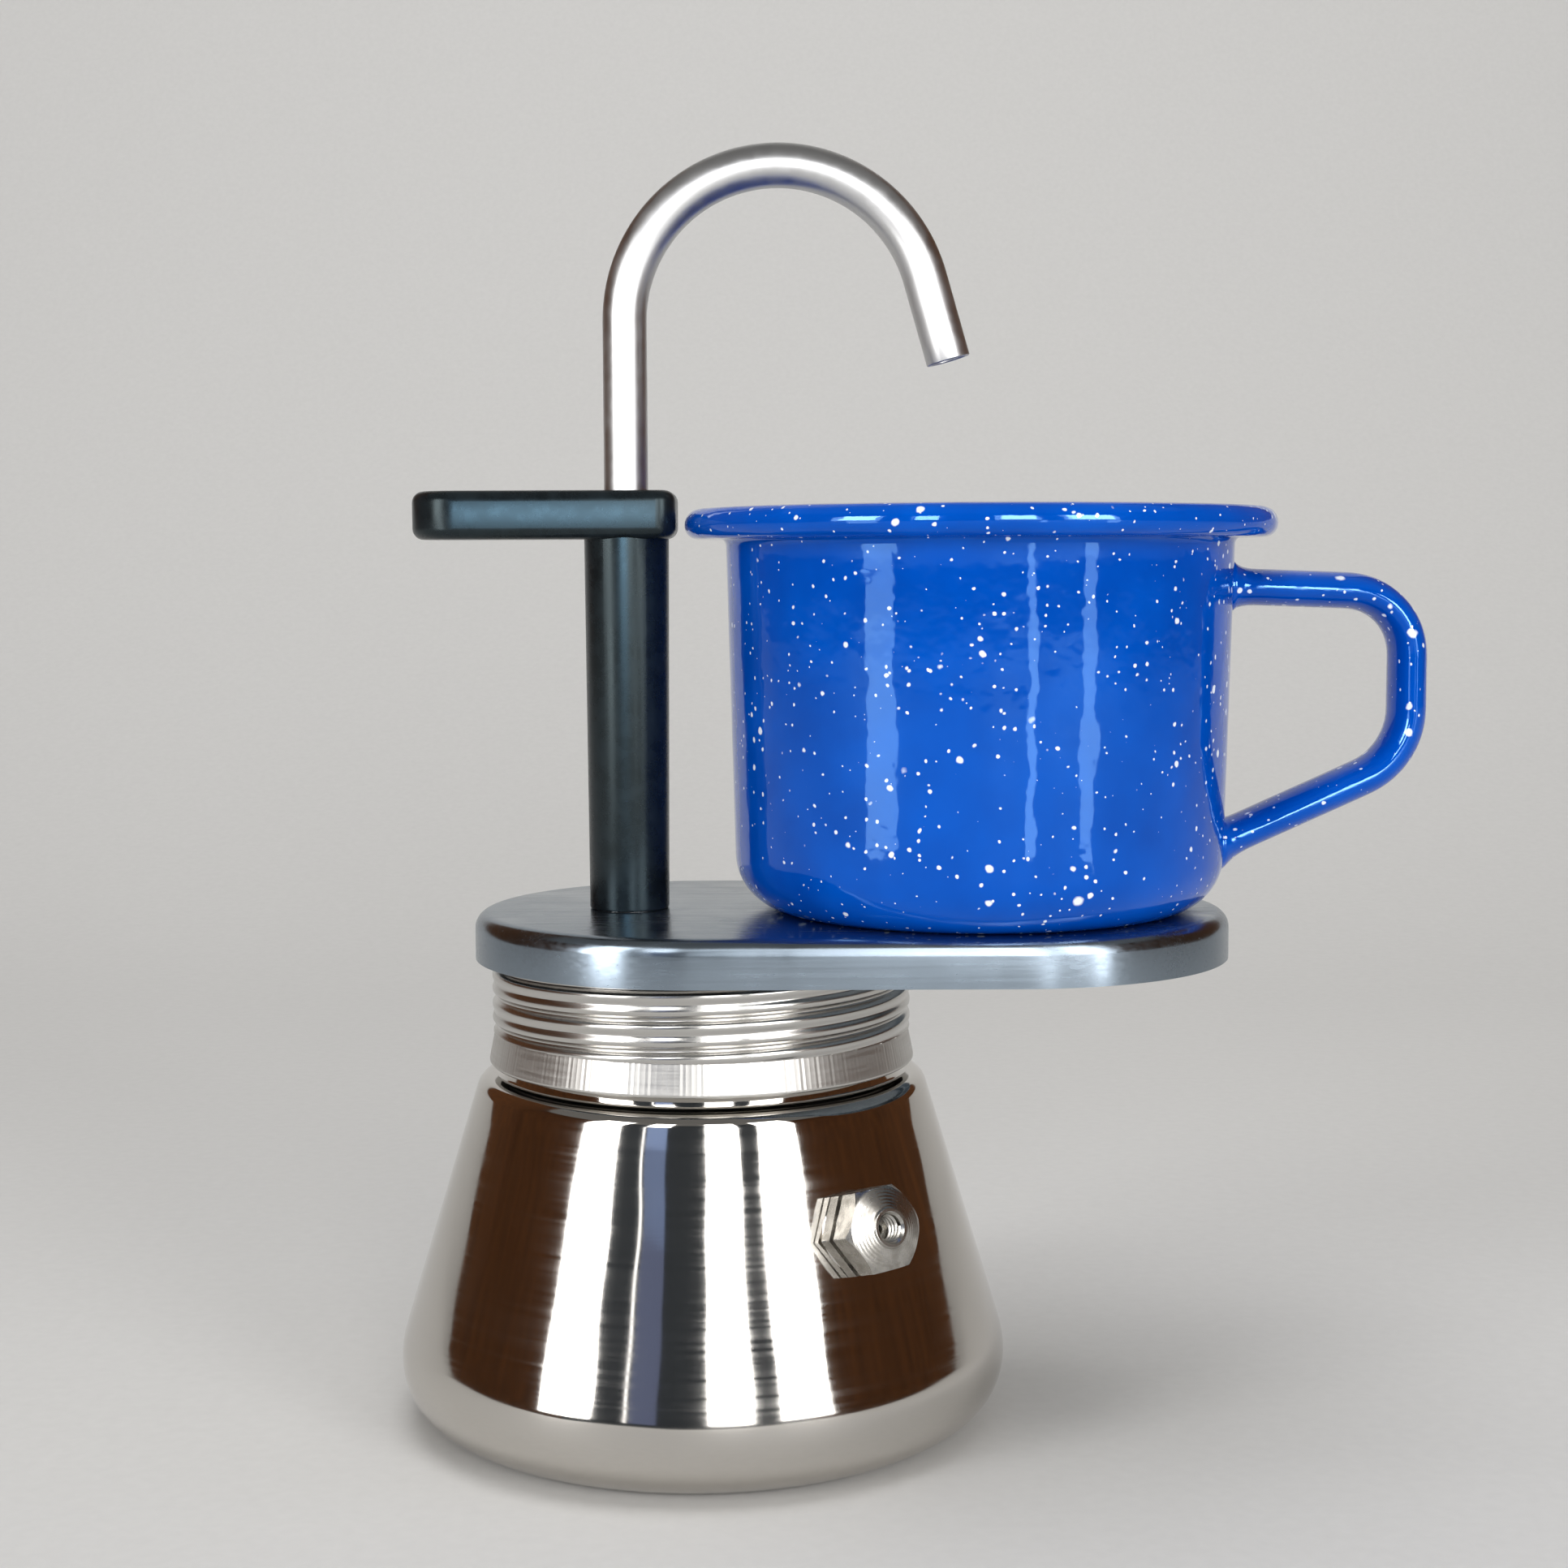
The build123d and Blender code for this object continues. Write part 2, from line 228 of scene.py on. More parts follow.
# %% Boiler wall
BOILER_ROUND = 9.0
BOILER_FLOOR_RADIUS = 29.2
BOILER_SHEET = 0.8
CONE_ANGLE = math.radians(16.9039)
SHOULDER_HEIGHT = 44.0
NECK_RADIUS = 24.6
NECK_TOP = 59.4
NECK_FLARE = 0.75
FLARE_TOP = 46.3
SHOULDER_ROUND = 2.0
FLARE_FOOT_ROUND = 0.7
FLARE_TOP_ROUND = 2.0
NECK_FOOT_ROUND = 2.0
LONGEST_LINE = 10.0
ROUND_STEPS = 192


def cone_radius(height, inset):
    """Radius of the boiler's straight wall at a height, outside or inset from it."""
    rise = (height - BOILER_ROUND) * math.sin(CONE_ANGLE)
    return BOILER_FLOOR_RADIUS + (BOILER_ROUND - inset - rise) / math.cos(CONE_ANGLE)


def wall_corners(inset):
    """Corners of the boiler's section on its outside, or with an inset on its inside."""
    shoulder = SHOULDER_HEIGHT - inset
    neck = NECK_RADIUS - inset
    return [(0, inset), (cone_radius(inset, inset), inset), (cone_radius(shoulder, inset), shoulder),
            (neck, shoulder), (neck, NECK_TOP)]


outside = wall_corners(0)
inside = wall_corners(BOILER_SHEET)
outside[3] = (NECK_RADIUS + NECK_FLARE, SHOULDER_HEIGHT)
outside.insert(4, (NECK_RADIUS, FLARE_TOP))
boiler = draw_outline("boiler_wall", outside + inside[::-1])
for inset, corners in ((0, outside), (BOILER_SHEET, inside)):
    round_corner(boiler, corners[1], BOILER_ROUND - inset, 20)
    round_corner(boiler, corners[2], SHOULDER_ROUND - inset, 10)
round_corner(boiler, outside[3], FLARE_FOOT_ROUND, 8)
round_corner(boiler, outside[4], FLARE_TOP_ROUND, 6)
round_corner(boiler, inside[3], NECK_FOOT_ROUND, 8)
cut_long_lines(boiler, LONGEST_LINE, 10)
spin_round(boiler, ROUND_STEPS)
report(boiler)

# %% [markdown]
# The neck carries the screw thread: a rounded ridge that climbs two turns. The Screw modifier sweeps
# a small section round the axis and lifts it by one pitch each turn, just as a thread is rolled.

# %% Thread on the neck
PITCH = 3.65
THREAD_DEPTH = 0.7
THREAD_SINK = 0.15
THREAD_HALF_ROOT = 1.0
THREAD_HALF_CREST = 0.4
THREAD_TURNS = 2
THREAD_START_ANGLE = 236.0
NECK_THREAD_START = 49.025


def screw_up(piece, pitch, turns, steps):
    """Sweep a section round Z and lift it by one pitch each turn."""
    apply_modifier(piece, "SCREW", axis="Z", angle=2 * math.pi, screw_offset=pitch * MM,
                   iterations=turns, steps=steps, render_steps=steps, use_merge_vertices=False)


def close_ends(piece):
    """Fill the open ends of a piece, then close it up."""
    pick(piece, lambda p: False)
    bpy.ops.mesh.select_non_manifold()
    bpy.ops.mesh.fill_holes(sides=0)
    close_up(piece)


def thread_ridge(name, root, crest, half_root, half_crest, start, pitch, turns, steps):
    """A helical ridge about Z that starts in the XZ plane."""
    points = [(root, start - half_root), (crest, start - half_crest), (crest, start + half_crest),
              (root, start + half_root), (root, start - half_root)]
    ridge = draw_outline(name, points)
    close_up(ridge)
    screw_up(ridge, pitch, turns, steps)
    close_ends(ridge)
    return ridge


ridge = thread_ridge("neck_thread", NECK_RADIUS - THREAD_SINK, NECK_RADIUS + THREAD_DEPTH,
                     THREAD_HALF_ROOT, THREAD_HALF_CREST, NECK_THREAD_START, PITCH, THREAD_TURNS, 96)
ridge.rotation_euler.z = math.radians(THREAD_START_ANGLE)
settle(ridge)
report(ridge)

# %% [markdown]
# A flat pad is pressed out of the cone where the safety valve sits, so that its flange lies flush. Here
# it is a short spun disc with a rounded edge, set along the valve's own axis and joined to the wall.

# %% Valve pad
VALVE_AZIMUTH = math.radians(36.1)
VALVE_HEIGHT = 29.6
PAD_RADIUS = 4.9
PAD_DEPTH = 1.6
PAD_ROUND = 0.4

valve_wall = cone_radius(VALVE_HEIGHT, 0)
valve_place = Vector((valve_wall * math.sin(VALVE_AZIMUTH), -valve_wall * math.cos(VALVE_AZIMUTH),
                      VALVE_HEIGHT))
valve_out = Vector((math.sin(VALVE_AZIMUTH) * math.cos(CONE_ANGLE),
                    -math.cos(VALVE_AZIMUTH) * math.cos(CONE_ANGLE), math.sin(CONE_ANGLE)))
valve_across = Vector((math.cos(VALVE_AZIMUTH), math.sin(VALVE_AZIMUTH), 0))
valve_up = valve_out.cross(valve_across)
valve_turn = Matrix((valve_across, valve_up, valve_out)).transposed().to_4x4()


def seat_on_boiler(piece):
    """Move a piece made upright at the origin to the valve's place on the boiler."""
    piece.matrix_world = Matrix.Translation(valve_place * MM) @ valve_turn
    settle(piece)


pad_section = [(0, -PAD_DEPTH), (PAD_RADIUS, -PAD_DEPTH), (PAD_RADIUS, 0), (0, 0)]
pad = draw_outline("valve_pad", pad_section)
round_corner(pad, (PAD_RADIUS, 0), PAD_ROUND, 5)
spin_round(pad, 64)
seat_on_boiler(pad)
join(boiler, ridge, pad)
boiler.name = "boiler_wall"
smooth(boiler)
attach(boiler, "boiler")
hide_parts("boiler_shell")
report(boiler)

# %% [markdown]
# The collar screws over the neck. Its thread is rolled into the sheet, so the same groove shows on the
# outside: a narrow dark groove each pitch with two soft swells between. The section of one pitch is
# drawn point by point, screwed up the collar and cut level at both ends.

# %% Rolled collar
COLLAR_RADIUS = 26.4
COLLAR_SHEET = 0.8
COLLAR_LOW = 49.75
COLLAR_HIGH = 62.6
ROLL_TURNS = 6
GROOVE_AT_FRONT = 51.2
GROOVE_WIDTH = 0.46
GROOVE_DEPTH = 0.68
SWELL_DIP = 0.24
SWELL_WIDTH = 0.44
SECTION_POINTS = 36


def rolled_radius(below):
    """Radius of the rolled sheet at a distance below the groove's middle."""
    groove = math.exp(-(below / GROOVE_WIDTH) ** 2) + math.exp(-((PITCH - below) / GROOVE_WIDTH) ** 2)
    dip = math.exp(-((below - PITCH / 2) / SWELL_WIDTH) ** 2)
    return COLLAR_RADIUS - GROOVE_DEPTH * groove - SWELL_DIP * dip


groove_at_start = GROOVE_AT_FRONT + PITCH / 4
section = []
for i in range(SECTION_POINTS + 1):
    below = PITCH * i / SECTION_POINTS
    section.append((rolled_radius(below), groove_at_start - 2 * PITCH - below))
collar = draw_outline("collar_roll", section)
screw_up(collar, PITCH, ROLL_TURNS, 160)
close_up(collar)
for height, keep_upper in ((COLLAR_LOW, True), (COLLAR_HIGH, False)):
    pick(collar, lambda p: True)
    bpy.ops.mesh.bisect(plane_co=(0, 0, height * MM), plane_no=(0, 0, 1), clear_inner=keep_upper,
                        clear_outer=not keep_upper)
    put_down()
front = [v.co / MM for v in collar.data.vertices if abs(v.co.x) < 0.6 * MM and v.co.y < 0]
dips = sorted(round(p.z, 2) for p in front if -p.y < COLLAR_RADIUS - GROOVE_DEPTH + 0.02)
print("groove heights at the front:", dips)
report(collar)

# %% [markdown]
# The sheet gets its thickness inwards, so the thread also stands inside the collar. The hem below it is
# rolled back on itself, flares out a little and is knurled with upright flutes for grip: every other
# line of points is drawn in towards the axis, by three depths in turn, since no knurl is quite even.

# %% Collar sheet, knurled hem and ceiling
HEM_RADIUS = 26.9
HEM_LEAN = 0.85
HEM_INNER = 25.65
HEM_LOW = 45.65
HEM_HIGH = 49.9
HEM_FACE = 25.8
HEM_FLUTES = 240
FLUTE_DEPTHS = (0.012, 0.022, 0.016)
FLUTE_LOW = 45.9
FLUTE_HIGH = 49.75
CEILING_INNER = 25.7
CEILING_LIP = 62.2
CEILING_LOW = 63.0
CEILING_HIGH = 63.8

apply_modifier(collar, "SOLIDIFY", thickness=COLLAR_SHEET * MM, offset=-1.0)
hem_section = [(HEM_INNER, HEM_LOW), (HEM_RADIUS, HEM_LOW), (HEM_RADIUS - HEM_LEAN, HEM_HIGH),
               (HEM_INNER, HEM_HIGH), (HEM_INNER, HEM_LOW)]
hem = draw_outline("collar_hem", hem_section)
round_corner(hem, hem_section[1], 0.35, 3)
round_corner(hem, hem_section[2], 0.30, 3)
pick_lines(hem, lambda a, b: min(a.x, b.x) > HEM_FACE and (a - b).length > 2)
bpy.ops.mesh.subdivide(number_cuts=9)
put_down()
spin_round(hem, 2 * HEM_FLUTES)


def in_flute(p, kind):
    """Every sixth line of the hem's outer points, so that three kinds of flute follow each other."""
    column = round(math.atan2(p.y, p.x) / math.pi * HEM_FLUTES)
    on_face = FLUTE_LOW < p.z < FLUTE_HIGH and math.hypot(p.x, p.y) > HEM_FACE
    return on_face and column % 6 == 2 * kind


for kind, depth in enumerate(FLUTE_DEPTHS):
    pick(hem, lambda p: in_flute(p, kind))
    shrink = 1 - depth / HEM_RADIUS
    bpy.ops.transform.resize(value=(shrink, shrink, 1), center_override=(0, 0, 0))
put_down()
smooth(hem, 5)
print("flutes round the hem:", HEM_FLUTES, "each", round(math.tau * HEM_RADIUS / HEM_FLUTES, 2), "mm wide")

ceiling_section = [(0, CEILING_LOW), (CEILING_INNER, CEILING_LOW), (CEILING_INNER, CEILING_LIP),
                   (COLLAR_RADIUS, CEILING_LIP), (COLLAR_RADIUS, CEILING_HIGH), (0, CEILING_HIGH)]
ceiling = draw_outline("collar_ceiling", ceiling_section)
round_corner(ceiling, ceiling_section[4], 1.0, 4)
spin_round(ceiling, 96)
join(collar, hem, ceiling)
collar.name = "collar_roll"
smooth(collar, 40)
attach(collar, "top")
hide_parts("collar")
report(collar)

# %% [markdown]
# The tray is a shallow pan pressed from sheet, turned upside down: long, with round ends. A circle is
# pulled apart at its middle to give the plan, the outline is extruded to the skirt, and the top is
# filled and bevelled before the sheet gets its thickness.

# %% Tray
TRAY_TOP = 64.6
TRAY_HEIGHT = 5.8
TRAY_END = 28.4
TRAY_STRAIGHT = 38.0
TRAY_SHEET = 0.8
TRAY_ROUND = 2.0
TRAY_POINTS = 192

put_down()
bpy.ops.mesh.primitive_circle_add(vertices=TRAY_POINTS, radius=TRAY_END * MM,
                                  location=(0, 0, (TRAY_TOP - TRAY_HEIGHT) * MM),
                                  rotation=(0, 0, math.pi / TRAY_POINTS))
tray = bpy.context.object
tray.name = "tray_pan"
settle(tray)
pick(tray, lambda p: p.x > 0)
bpy.ops.transform.translate(value=(TRAY_STRAIGHT * MM, 0, 0))
pick(tray, lambda p: abs(p.x - TRAY_STRAIGHT / 2) < TRAY_STRAIGHT / 2 + 1 and abs(p.y) > TRAY_END - 0.05)
bpy.ops.mesh.subdivide(number_cuts=24)
pick(tray, lambda p: True)
extrude((0, 0, TRAY_HEIGHT * MM))
bpy.ops.mesh.edge_face_add()
pick(tray, lambda p: p.z > TRAY_TOP - 0.1)
bpy.ops.mesh.bevel(offset=TRAY_ROUND * MM, segments=8, affect="EDGES")
close_up(tray)
apply_modifier(tray, "SOLIDIFY", thickness=TRAY_SHEET * MM, offset=-1.0, use_even_offset=True)
smooth(tray)
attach(tray, "top")
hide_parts("cup_tray")
report(tray)

# %% [markdown]
# The spout is a drawn tube, bent over a round former. A ring of points is extruded up, spun over the
# bend and extruded down to the tip; the wall is added inwards, and the cut end is broken with a bevel.

# %% Spout
SPOUT_X = -9.0
SPOUT_RADIUS = 2.75
SPOUT_WALL = 0.6
BEND_RADIUS = 19.0
BEND_HEIGHT = 137.85
BEND_SWEEP = math.radians(164)
TIP_LENGTH = 10.6
TIP_BEVEL = 0.14
SPOUT_FOOT = 63.0
RISER_STEPS = 12
TIP_STEPS = 4

put_down()
bpy.ops.mesh.primitive_circle_add(vertices=48, radius=SPOUT_RADIUS * MM,
                                  location=(SPOUT_X * MM, 0, SPOUT_FOOT * MM))
spout = bpy.context.object
spout.name = "spout_pipe"
settle(spout)
pick(spout, lambda p: True)
for i in range(RISER_STEPS):
    lift = (BEND_HEIGHT - SPOUT_FOOT) / RISER_STEPS
    extrude((0, 0, lift * MM))
bend_centre = (SPOUT_X + BEND_RADIUS, 0, BEND_HEIGHT)
bpy.ops.mesh.spin(steps=64, angle=BEND_SWEEP, center=[c * MM for c in bend_centre], axis=(0, -1, 0))
tip_way = Vector((-math.cos(BEND_SWEEP + math.pi / 2), 0, math.sin(BEND_SWEEP + math.pi / 2)))
for i in range(TIP_STEPS):
    move = tip_way * TIP_LENGTH / TIP_STEPS
    extrude(move * MM)
close_up(spout)
apply_modifier(spout, "SOLIDIFY", thickness=SPOUT_WALL * MM, offset=-1.0, use_even_offset=True)
bend_end = Vector((bend_centre[0] - BEND_RADIUS * math.cos(BEND_SWEEP), 0,
                   BEND_HEIGHT + BEND_RADIUS * math.sin(BEND_SWEEP)))
tip_end = bend_end + tip_way * TIP_LENGTH


def on_tip_ring(a, b):
    """Edges that run round the tip, on the outside or in the bore."""
    at_end = all((p - tip_end).dot(tip_way) > -0.05 for p in (a, b))
    return at_end and abs((a - tip_end).length - (b - tip_end).length) < 0.05


pick_lines(spout, on_tip_ring)
bpy.ops.mesh.bevel(offset=TIP_BEVEL * MM, segments=3, affect="EDGES")
close_up(spout)
smooth(spout)
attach(spout, "top")
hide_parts("spout_tube")
print("spout tip at", [round(c, 2) for c in tip_end])
report(spout)

# %% [markdown]
# The handle is one black moulding: a tapered sleeve round the spout's riser and a thumb plate across its
# top. The plate starts as a block whose upright edges are rounded first and whose rims are rounded
# after; the sleeve is spun, the two are united, and the riser's bore is cut.

# %% Handle
SLEEVE_FOOT = 64.62
SLEEVE_TOP = 112.4
SLEEVE_FOOT_RADIUS = 5.0
SLEEVE_TOP_RADIUS = 5.3
SLEEVE_ROUND = 0.3
PLATE_LOW = 111.0
PLATE_HIGH = 117.0
PLATE_LEFT = -35.7
PLATE_RIGHT = -2.7
PLATE_HALF = 6.0
PLATE_HEEL_ROUND = 2.5
PLATE_RIM_ROUND = 1.4

put_down()
bpy.ops.mesh.primitive_cube_add(size=1)
handle = bpy.context.object
handle.name = "handle_moulding"
handle.scale = [c * MM for c in (PLATE_RIGHT - PLATE_LEFT, 2 * PLATE_HALF, PLATE_HIGH - PLATE_LOW)]
handle.location = [c * MM for c in ((PLATE_RIGHT + PLATE_LEFT) / 2, 0, (PLATE_HIGH + PLATE_LOW) / 2)]
settle(handle)
plate_ends = ((PLATE_LEFT, PLATE_HALF - 0.02, 20), (PLATE_RIGHT, PLATE_HEEL_ROUND, 10))
for end, radius, segments in plate_ends:
    for side in (-1, 1):
        pick(handle, lambda p: abs(p.x - end) < 0.01 and abs(p.y - side * PLATE_HALF) < 0.01)
        bpy.ops.mesh.bevel(offset=radius * MM, segments=segments, affect="EDGES")
for height in (PLATE_LOW, PLATE_HIGH):
    pick(handle, lambda p: abs(p.z - height) < 0.01)
    bpy.ops.mesh.bevel(offset=PLATE_RIM_ROUND * MM, segments=6, affect="EDGES")
close_up(handle)

sleeve_section = [(0, SLEEVE_FOOT), (SLEEVE_FOOT_RADIUS, SLEEVE_FOOT), (SLEEVE_TOP_RADIUS, SLEEVE_TOP),
                  (0, SLEEVE_TOP)]
sleeve = draw_outline("sleeve", sleeve_section)
round_corner(sleeve, sleeve_section[1], SLEEVE_ROUND, 4)
spin_round(sleeve, 72)
sleeve.location.x = SPOUT_X * MM
settle(sleeve)

# The bore leaves room for the bush on the tray and for the riser, and is longer than the sleeve
BORE_RADIUS = SPOUT_RADIUS + 0.02
BORE_LOW = 60.0
BORE_HIGH = 120.0
BUSH_FOOT_RADIUS = 4.65
BUSH_FOOT_TOP = 65.15
BUSH_RADIUS = 3.95
BUSH_TOP = 72.7
bore_section = [(0, BORE_LOW), (BUSH_FOOT_RADIUS, BORE_LOW), (BUSH_FOOT_RADIUS, BUSH_FOOT_TOP),
                (BUSH_RADIUS, BUSH_FOOT_TOP), (BUSH_RADIUS, BUSH_TOP), (BORE_RADIUS, BUSH_TOP),
                (BORE_RADIUS, BORE_HIGH), (0, BORE_HIGH)]
bore = draw_outline("bore", bore_section)
spin_round(bore, 48)
bore.location.x = SPOUT_X * MM
settle(bore)
apply_modifier(handle, "BOOLEAN", object=sleeve, operation="UNION", solver="MANIFOLD")
apply_modifier(handle, "BOOLEAN", object=bore, operation="DIFFERENCE", solver="MANIFOLD")
for tool in (sleeve, bore):
    bpy.data.objects.remove(tool)
smooth(handle)
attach(handle, "top")
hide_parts("handle_grip")
report(handle)

# %% [markdown]
# The safety valve is turned from hexagonal bar: a flange, an undercut, a head with a chamfered face and
# a crowned lip round a threaded hole. What a lathe leaves of a hexagon is where the bar and the
# turned form overlap, so that is how it is made here too.

# %% Safety valve
FLATS = 9.5
HEX_TURN = 3.0
STEM_END = -7.0
STEM_RADIUS = 3.4
SEAT = -5.6
PORT_RADIUS = 0.9
FLANGE_TOP = 1.6
UNDERCUT_RADIUS = 4.2
HEAD_LOW = 2.4
CHAMFER_LOW = 4.55
VALVE_FACE = 6.6
FACE_EDGE = (4.85, 5.45)
CROWN_FOOT = (2.45, 6.35)
CROWN_TOP = (2.3, VALVE_FACE)
MOUTH_RADIUS = 1.9
MOUTH_LOW = 6.3
VALVE_BORE = 1.6

corner = FLATS / math.sqrt(3) + 0.2
turned_section = [
    (PORT_RADIUS, STEM_END), (STEM_RADIUS, STEM_END), (STEM_RADIUS, 0), (corner, 0), (corner, FLANGE_TOP),
    (UNDERCUT_RADIUS, FLANGE_TOP), (UNDERCUT_RADIUS, HEAD_LOW), (corner, HEAD_LOW), (corner, CHAMFER_LOW),
    FACE_EDGE, CROWN_FOOT, CROWN_TOP, (MOUTH_RADIUS, VALVE_FACE), (VALVE_BORE, MOUTH_LOW),
    (VALVE_BORE, SEAT), (PORT_RADIUS, SEAT), (PORT_RADIUS, STEM_END)]
valve = draw_outline("valve_fitting", turned_section)
round_corner(valve, FACE_EDGE, 0.5, 5)
round_corner(valve, CROWN_TOP, 0.15, 3)
for height in (FLANGE_TOP, HEAD_LOW):
    round_corner(valve, (UNDERCUT_RADIUS, height), 0.2, 3)
spin_round(valve, 144)
put_down()
bar_length = VALVE_FACE - STEM_END + 2
bpy.ops.mesh.primitive_cylinder_add(vertices=6, radius=FLATS / math.sqrt(3) * MM, depth=bar_length * MM,
                                    location=(0, 0, (VALVE_FACE + STEM_END) / 2 * MM),
                                    rotation=(0, 0, math.radians(30 + HEX_TURN)))
bar = bpy.context.object
settle(bar)
pick_lines(bar, lambda a, b: abs(a.z - b.z) > 5)
bpy.ops.mesh.bevel(offset=0.12 * MM, segments=2, affect="EDGES")
put_down()
apply_modifier(valve, "BOOLEAN", object=bar, operation="INTERSECT", solver="EXACT")
bpy.data.objects.remove(bar)
report(valve)

# %% [markdown]
# The hole in the valve's face is tapped, so that a screw in it can set the spring's force. A tap leaves a
# fine ridge that winds up the bore. It is swept like the neck's thread, pointing inwards; cutting the
# groove with a boolean would look the same and leave many thin faces.

# %% Thread in the valve's mouth
MOUTH_ROOT = 1.68
MOUTH_CREST = 1.36
MOUTH_HALF_ROOT = 0.28
MOUTH_HALF_CREST = 0.06
MOUTH_THREAD_START = 3.62
MOUTH_PITCH = 0.6
MOUTH_TURNS = 4

mouth_thread = thread_ridge("mouth_thread", MOUTH_ROOT, MOUTH_CREST, MOUTH_HALF_ROOT, MOUTH_HALF_CREST,
                            MOUTH_THREAD_START, MOUTH_PITCH, MOUTH_TURNS, 40)
join(valve, mouth_thread)
valve.name = "valve_fitting"
smooth(valve, 25)
seat_on_boiler(valve)
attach(valve, "boiler")
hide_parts("valve_body")
report(valve)

# %% [markdown]
# A small wire spring inside the valve holds the poppet on its seat; steam that lifts the poppet shortens
# it. Here the coil is swept at its resting length and set in place along the valve's axis.

# %% Valve spring
WIRE_RADIUS = 0.18
COIL_RADIUS = 1.0
COIL_LOW = -4.22
COIL_HIGH = 2.02
COIL_TURNS = 7

put_down()
bpy.ops.mesh.primitive_circle_add(vertices=16, radius=WIRE_RADIUS * MM, rotation=(math.pi / 2, 0, 0),
                                  location=(COIL_RADIUS * MM, 0, COIL_LOW * MM))
coil = bpy.context.object
coil.name = "spring_coil"
settle(coil)
screw_up(coil, (COIL_HIGH - COIL_LOW) / COIL_TURNS, COIL_TURNS, 40)
close_ends(coil)
smooth(coil, 50)
seat_on_boiler(coil)
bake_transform(coil)
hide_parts("valve_spring")
report(coil)

# %% [markdown]
# The cup is pressed steel under blue enamel. Its rim is rolled outwards into a fat bead, and enamel pools
# under the bead, so the wall runs into it with a small hollow round. One section, spun, gives all.

# %% Cup
CUP_X = 35.0
CUP_HEIGHT = 50.3
CUP_TOP_RADIUS = 31.65
CUP_SIDE = 30.4
CUP_SHEET = 1.1
RIM_RADIUS = 36.75
RIM_LOW = 46.4
CUP_ROUND = 7.0
CUP_STEPS = 192
RECESS_DEPTH = 0.5
RECESS_RADIUS = 19.0
FOOT_RADIUS = 20.2

rim_inner = CUP_TOP_RADIUS - CUP_SHEET
cup_section = [(0, RECESS_DEPTH), (RECESS_RADIUS, RECESS_DEPTH), (FOOT_RADIUS, 0), (CUP_SIDE, 0),
               (CUP_TOP_RADIUS - 0.05, RIM_LOW), (RIM_RADIUS, RIM_LOW - 0.1),
               (RIM_RADIUS, CUP_HEIGHT - 0.35), (rim_inner, CUP_HEIGHT),
               (CUP_SIDE - CUP_SHEET, CUP_SHEET), (0, CUP_SHEET)]
cup = draw_outline("enamel_cup", [(r, z + TRAY_TOP) for r, z in cup_section])
# Which corner of the section, its radius and its segments
roundings = ((1, 0.8, 3), (2, 0.6, 4), (3, CUP_ROUND, 14), (4, 0.9, 6), (5, 1.7, 10), (6, 1.9, 10),
             (7, 1.5, 10), (8, CUP_ROUND - CUP_SHEET, 12))
for index, radius, segments in roundings:
    radius_at, height = cup_section[index]
    round_corner(cup, (radius_at, height + TRAY_TOP), radius, segments)
cut_long_lines(cup, LONGEST_LINE, 12)
spin_round(cup, CUP_STEPS)
cup.location.x = CUP_X * MM
settle(cup)
smooth(cup)
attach(cup, "cup")
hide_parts("cup_body")
report(cup)

# %% [markdown]
# The cup's handle is a strap of oval section, welded to the wall and enamelled with it. An oval ring is
# extruded along the top, spun round each bend and extruded back to the wall. Its first and last rings
# are spread and set upright along the wall, because enamel fills the corner of the weld.

# %% Cup handle
STRAP_WIDTH = 9.2
STRAP_THICKNESS = 4.6
HANDLE_PATH = [(30.5, 40.3), (53.8, 39.4), (53.8, 18.7), (29.6, 7.8)]
HANDLE_ROUNDS = [8.0, 9.5]

path = [Vector((x + CUP_X, 0, z + TRAY_TOP)) for x, z in HANDLE_PATH]
ways = [(there - here).normalized() for here, there in zip(path, path[1:])]
lean = math.atan2(-ways[0].z, ways[0].x)
put_down()
bpy.ops.mesh.primitive_circle_add(vertices=40, radius=1, location=path[0] * MM,
                                  rotation=(0, math.pi / 2 + lean, 0))
strap = bpy.context.object
strap.name = "cup_strap"
strap.scale = (STRAP_THICKNESS / 2 * MM, STRAP_WIDTH / 2 * MM, 1)
settle(strap)
pick(strap, lambda p: True)
place = path[0].copy()


def draw_on(way, length, steps):
    """Extrude the open ring along a way."""
    for i in range(steps):
        move = way * length / steps
        extrude(move * MM)
        place.xyz = place + move


def spread(thicker, wider):
    """Spread or shrink the open ring about its middle."""
    bpy.ops.transform.resize(value=(thicker, wider, thicker), center_override=place * MM)


# Steps away from the wall, and how much thicker and wider the strap is there
WELD = [(0.0, 1.75, 1.24), (1.0, 1.50, 1.17), (0.4, 1.30, 1.10), (0.6, 1.13, 1.04), (0.9, 1.03, 1.01),
        (1.2, 1.0, 1.0)]
spread(WELD[0][1], WELD[0][2])
for before, step in zip(WELD, WELD[1:]):
    draw_on(ways[0], step[0], 1)
    spread(step[1] / before[1], step[2] / before[2])
for i, radius in enumerate(HANDLE_ROUNDS):
    turn = ways[i].angle(ways[i + 1])
    setback = radius * math.tan(turn / 2)
    run = (path[i + 1] - place).dot(ways[i]) - setback
    draw_on(ways[i], run, 8)
    inward = Vector((ways[i].z, 0, -ways[i].x))
    centre = place + inward * radius
    bpy.ops.mesh.spin(steps=12, angle=turn, center=centre * MM, axis=(0, -1, 0))
    place.xyz = path[i + 1] + ways[i + 1] * setback
last_run = (path[-1] - place).dot(ways[-1])
draw_on(ways[-1], last_run - sum(step[0] for step in WELD), 6)
slant = math.atan2(ways[-1].z, ways[-1].x) + math.pi
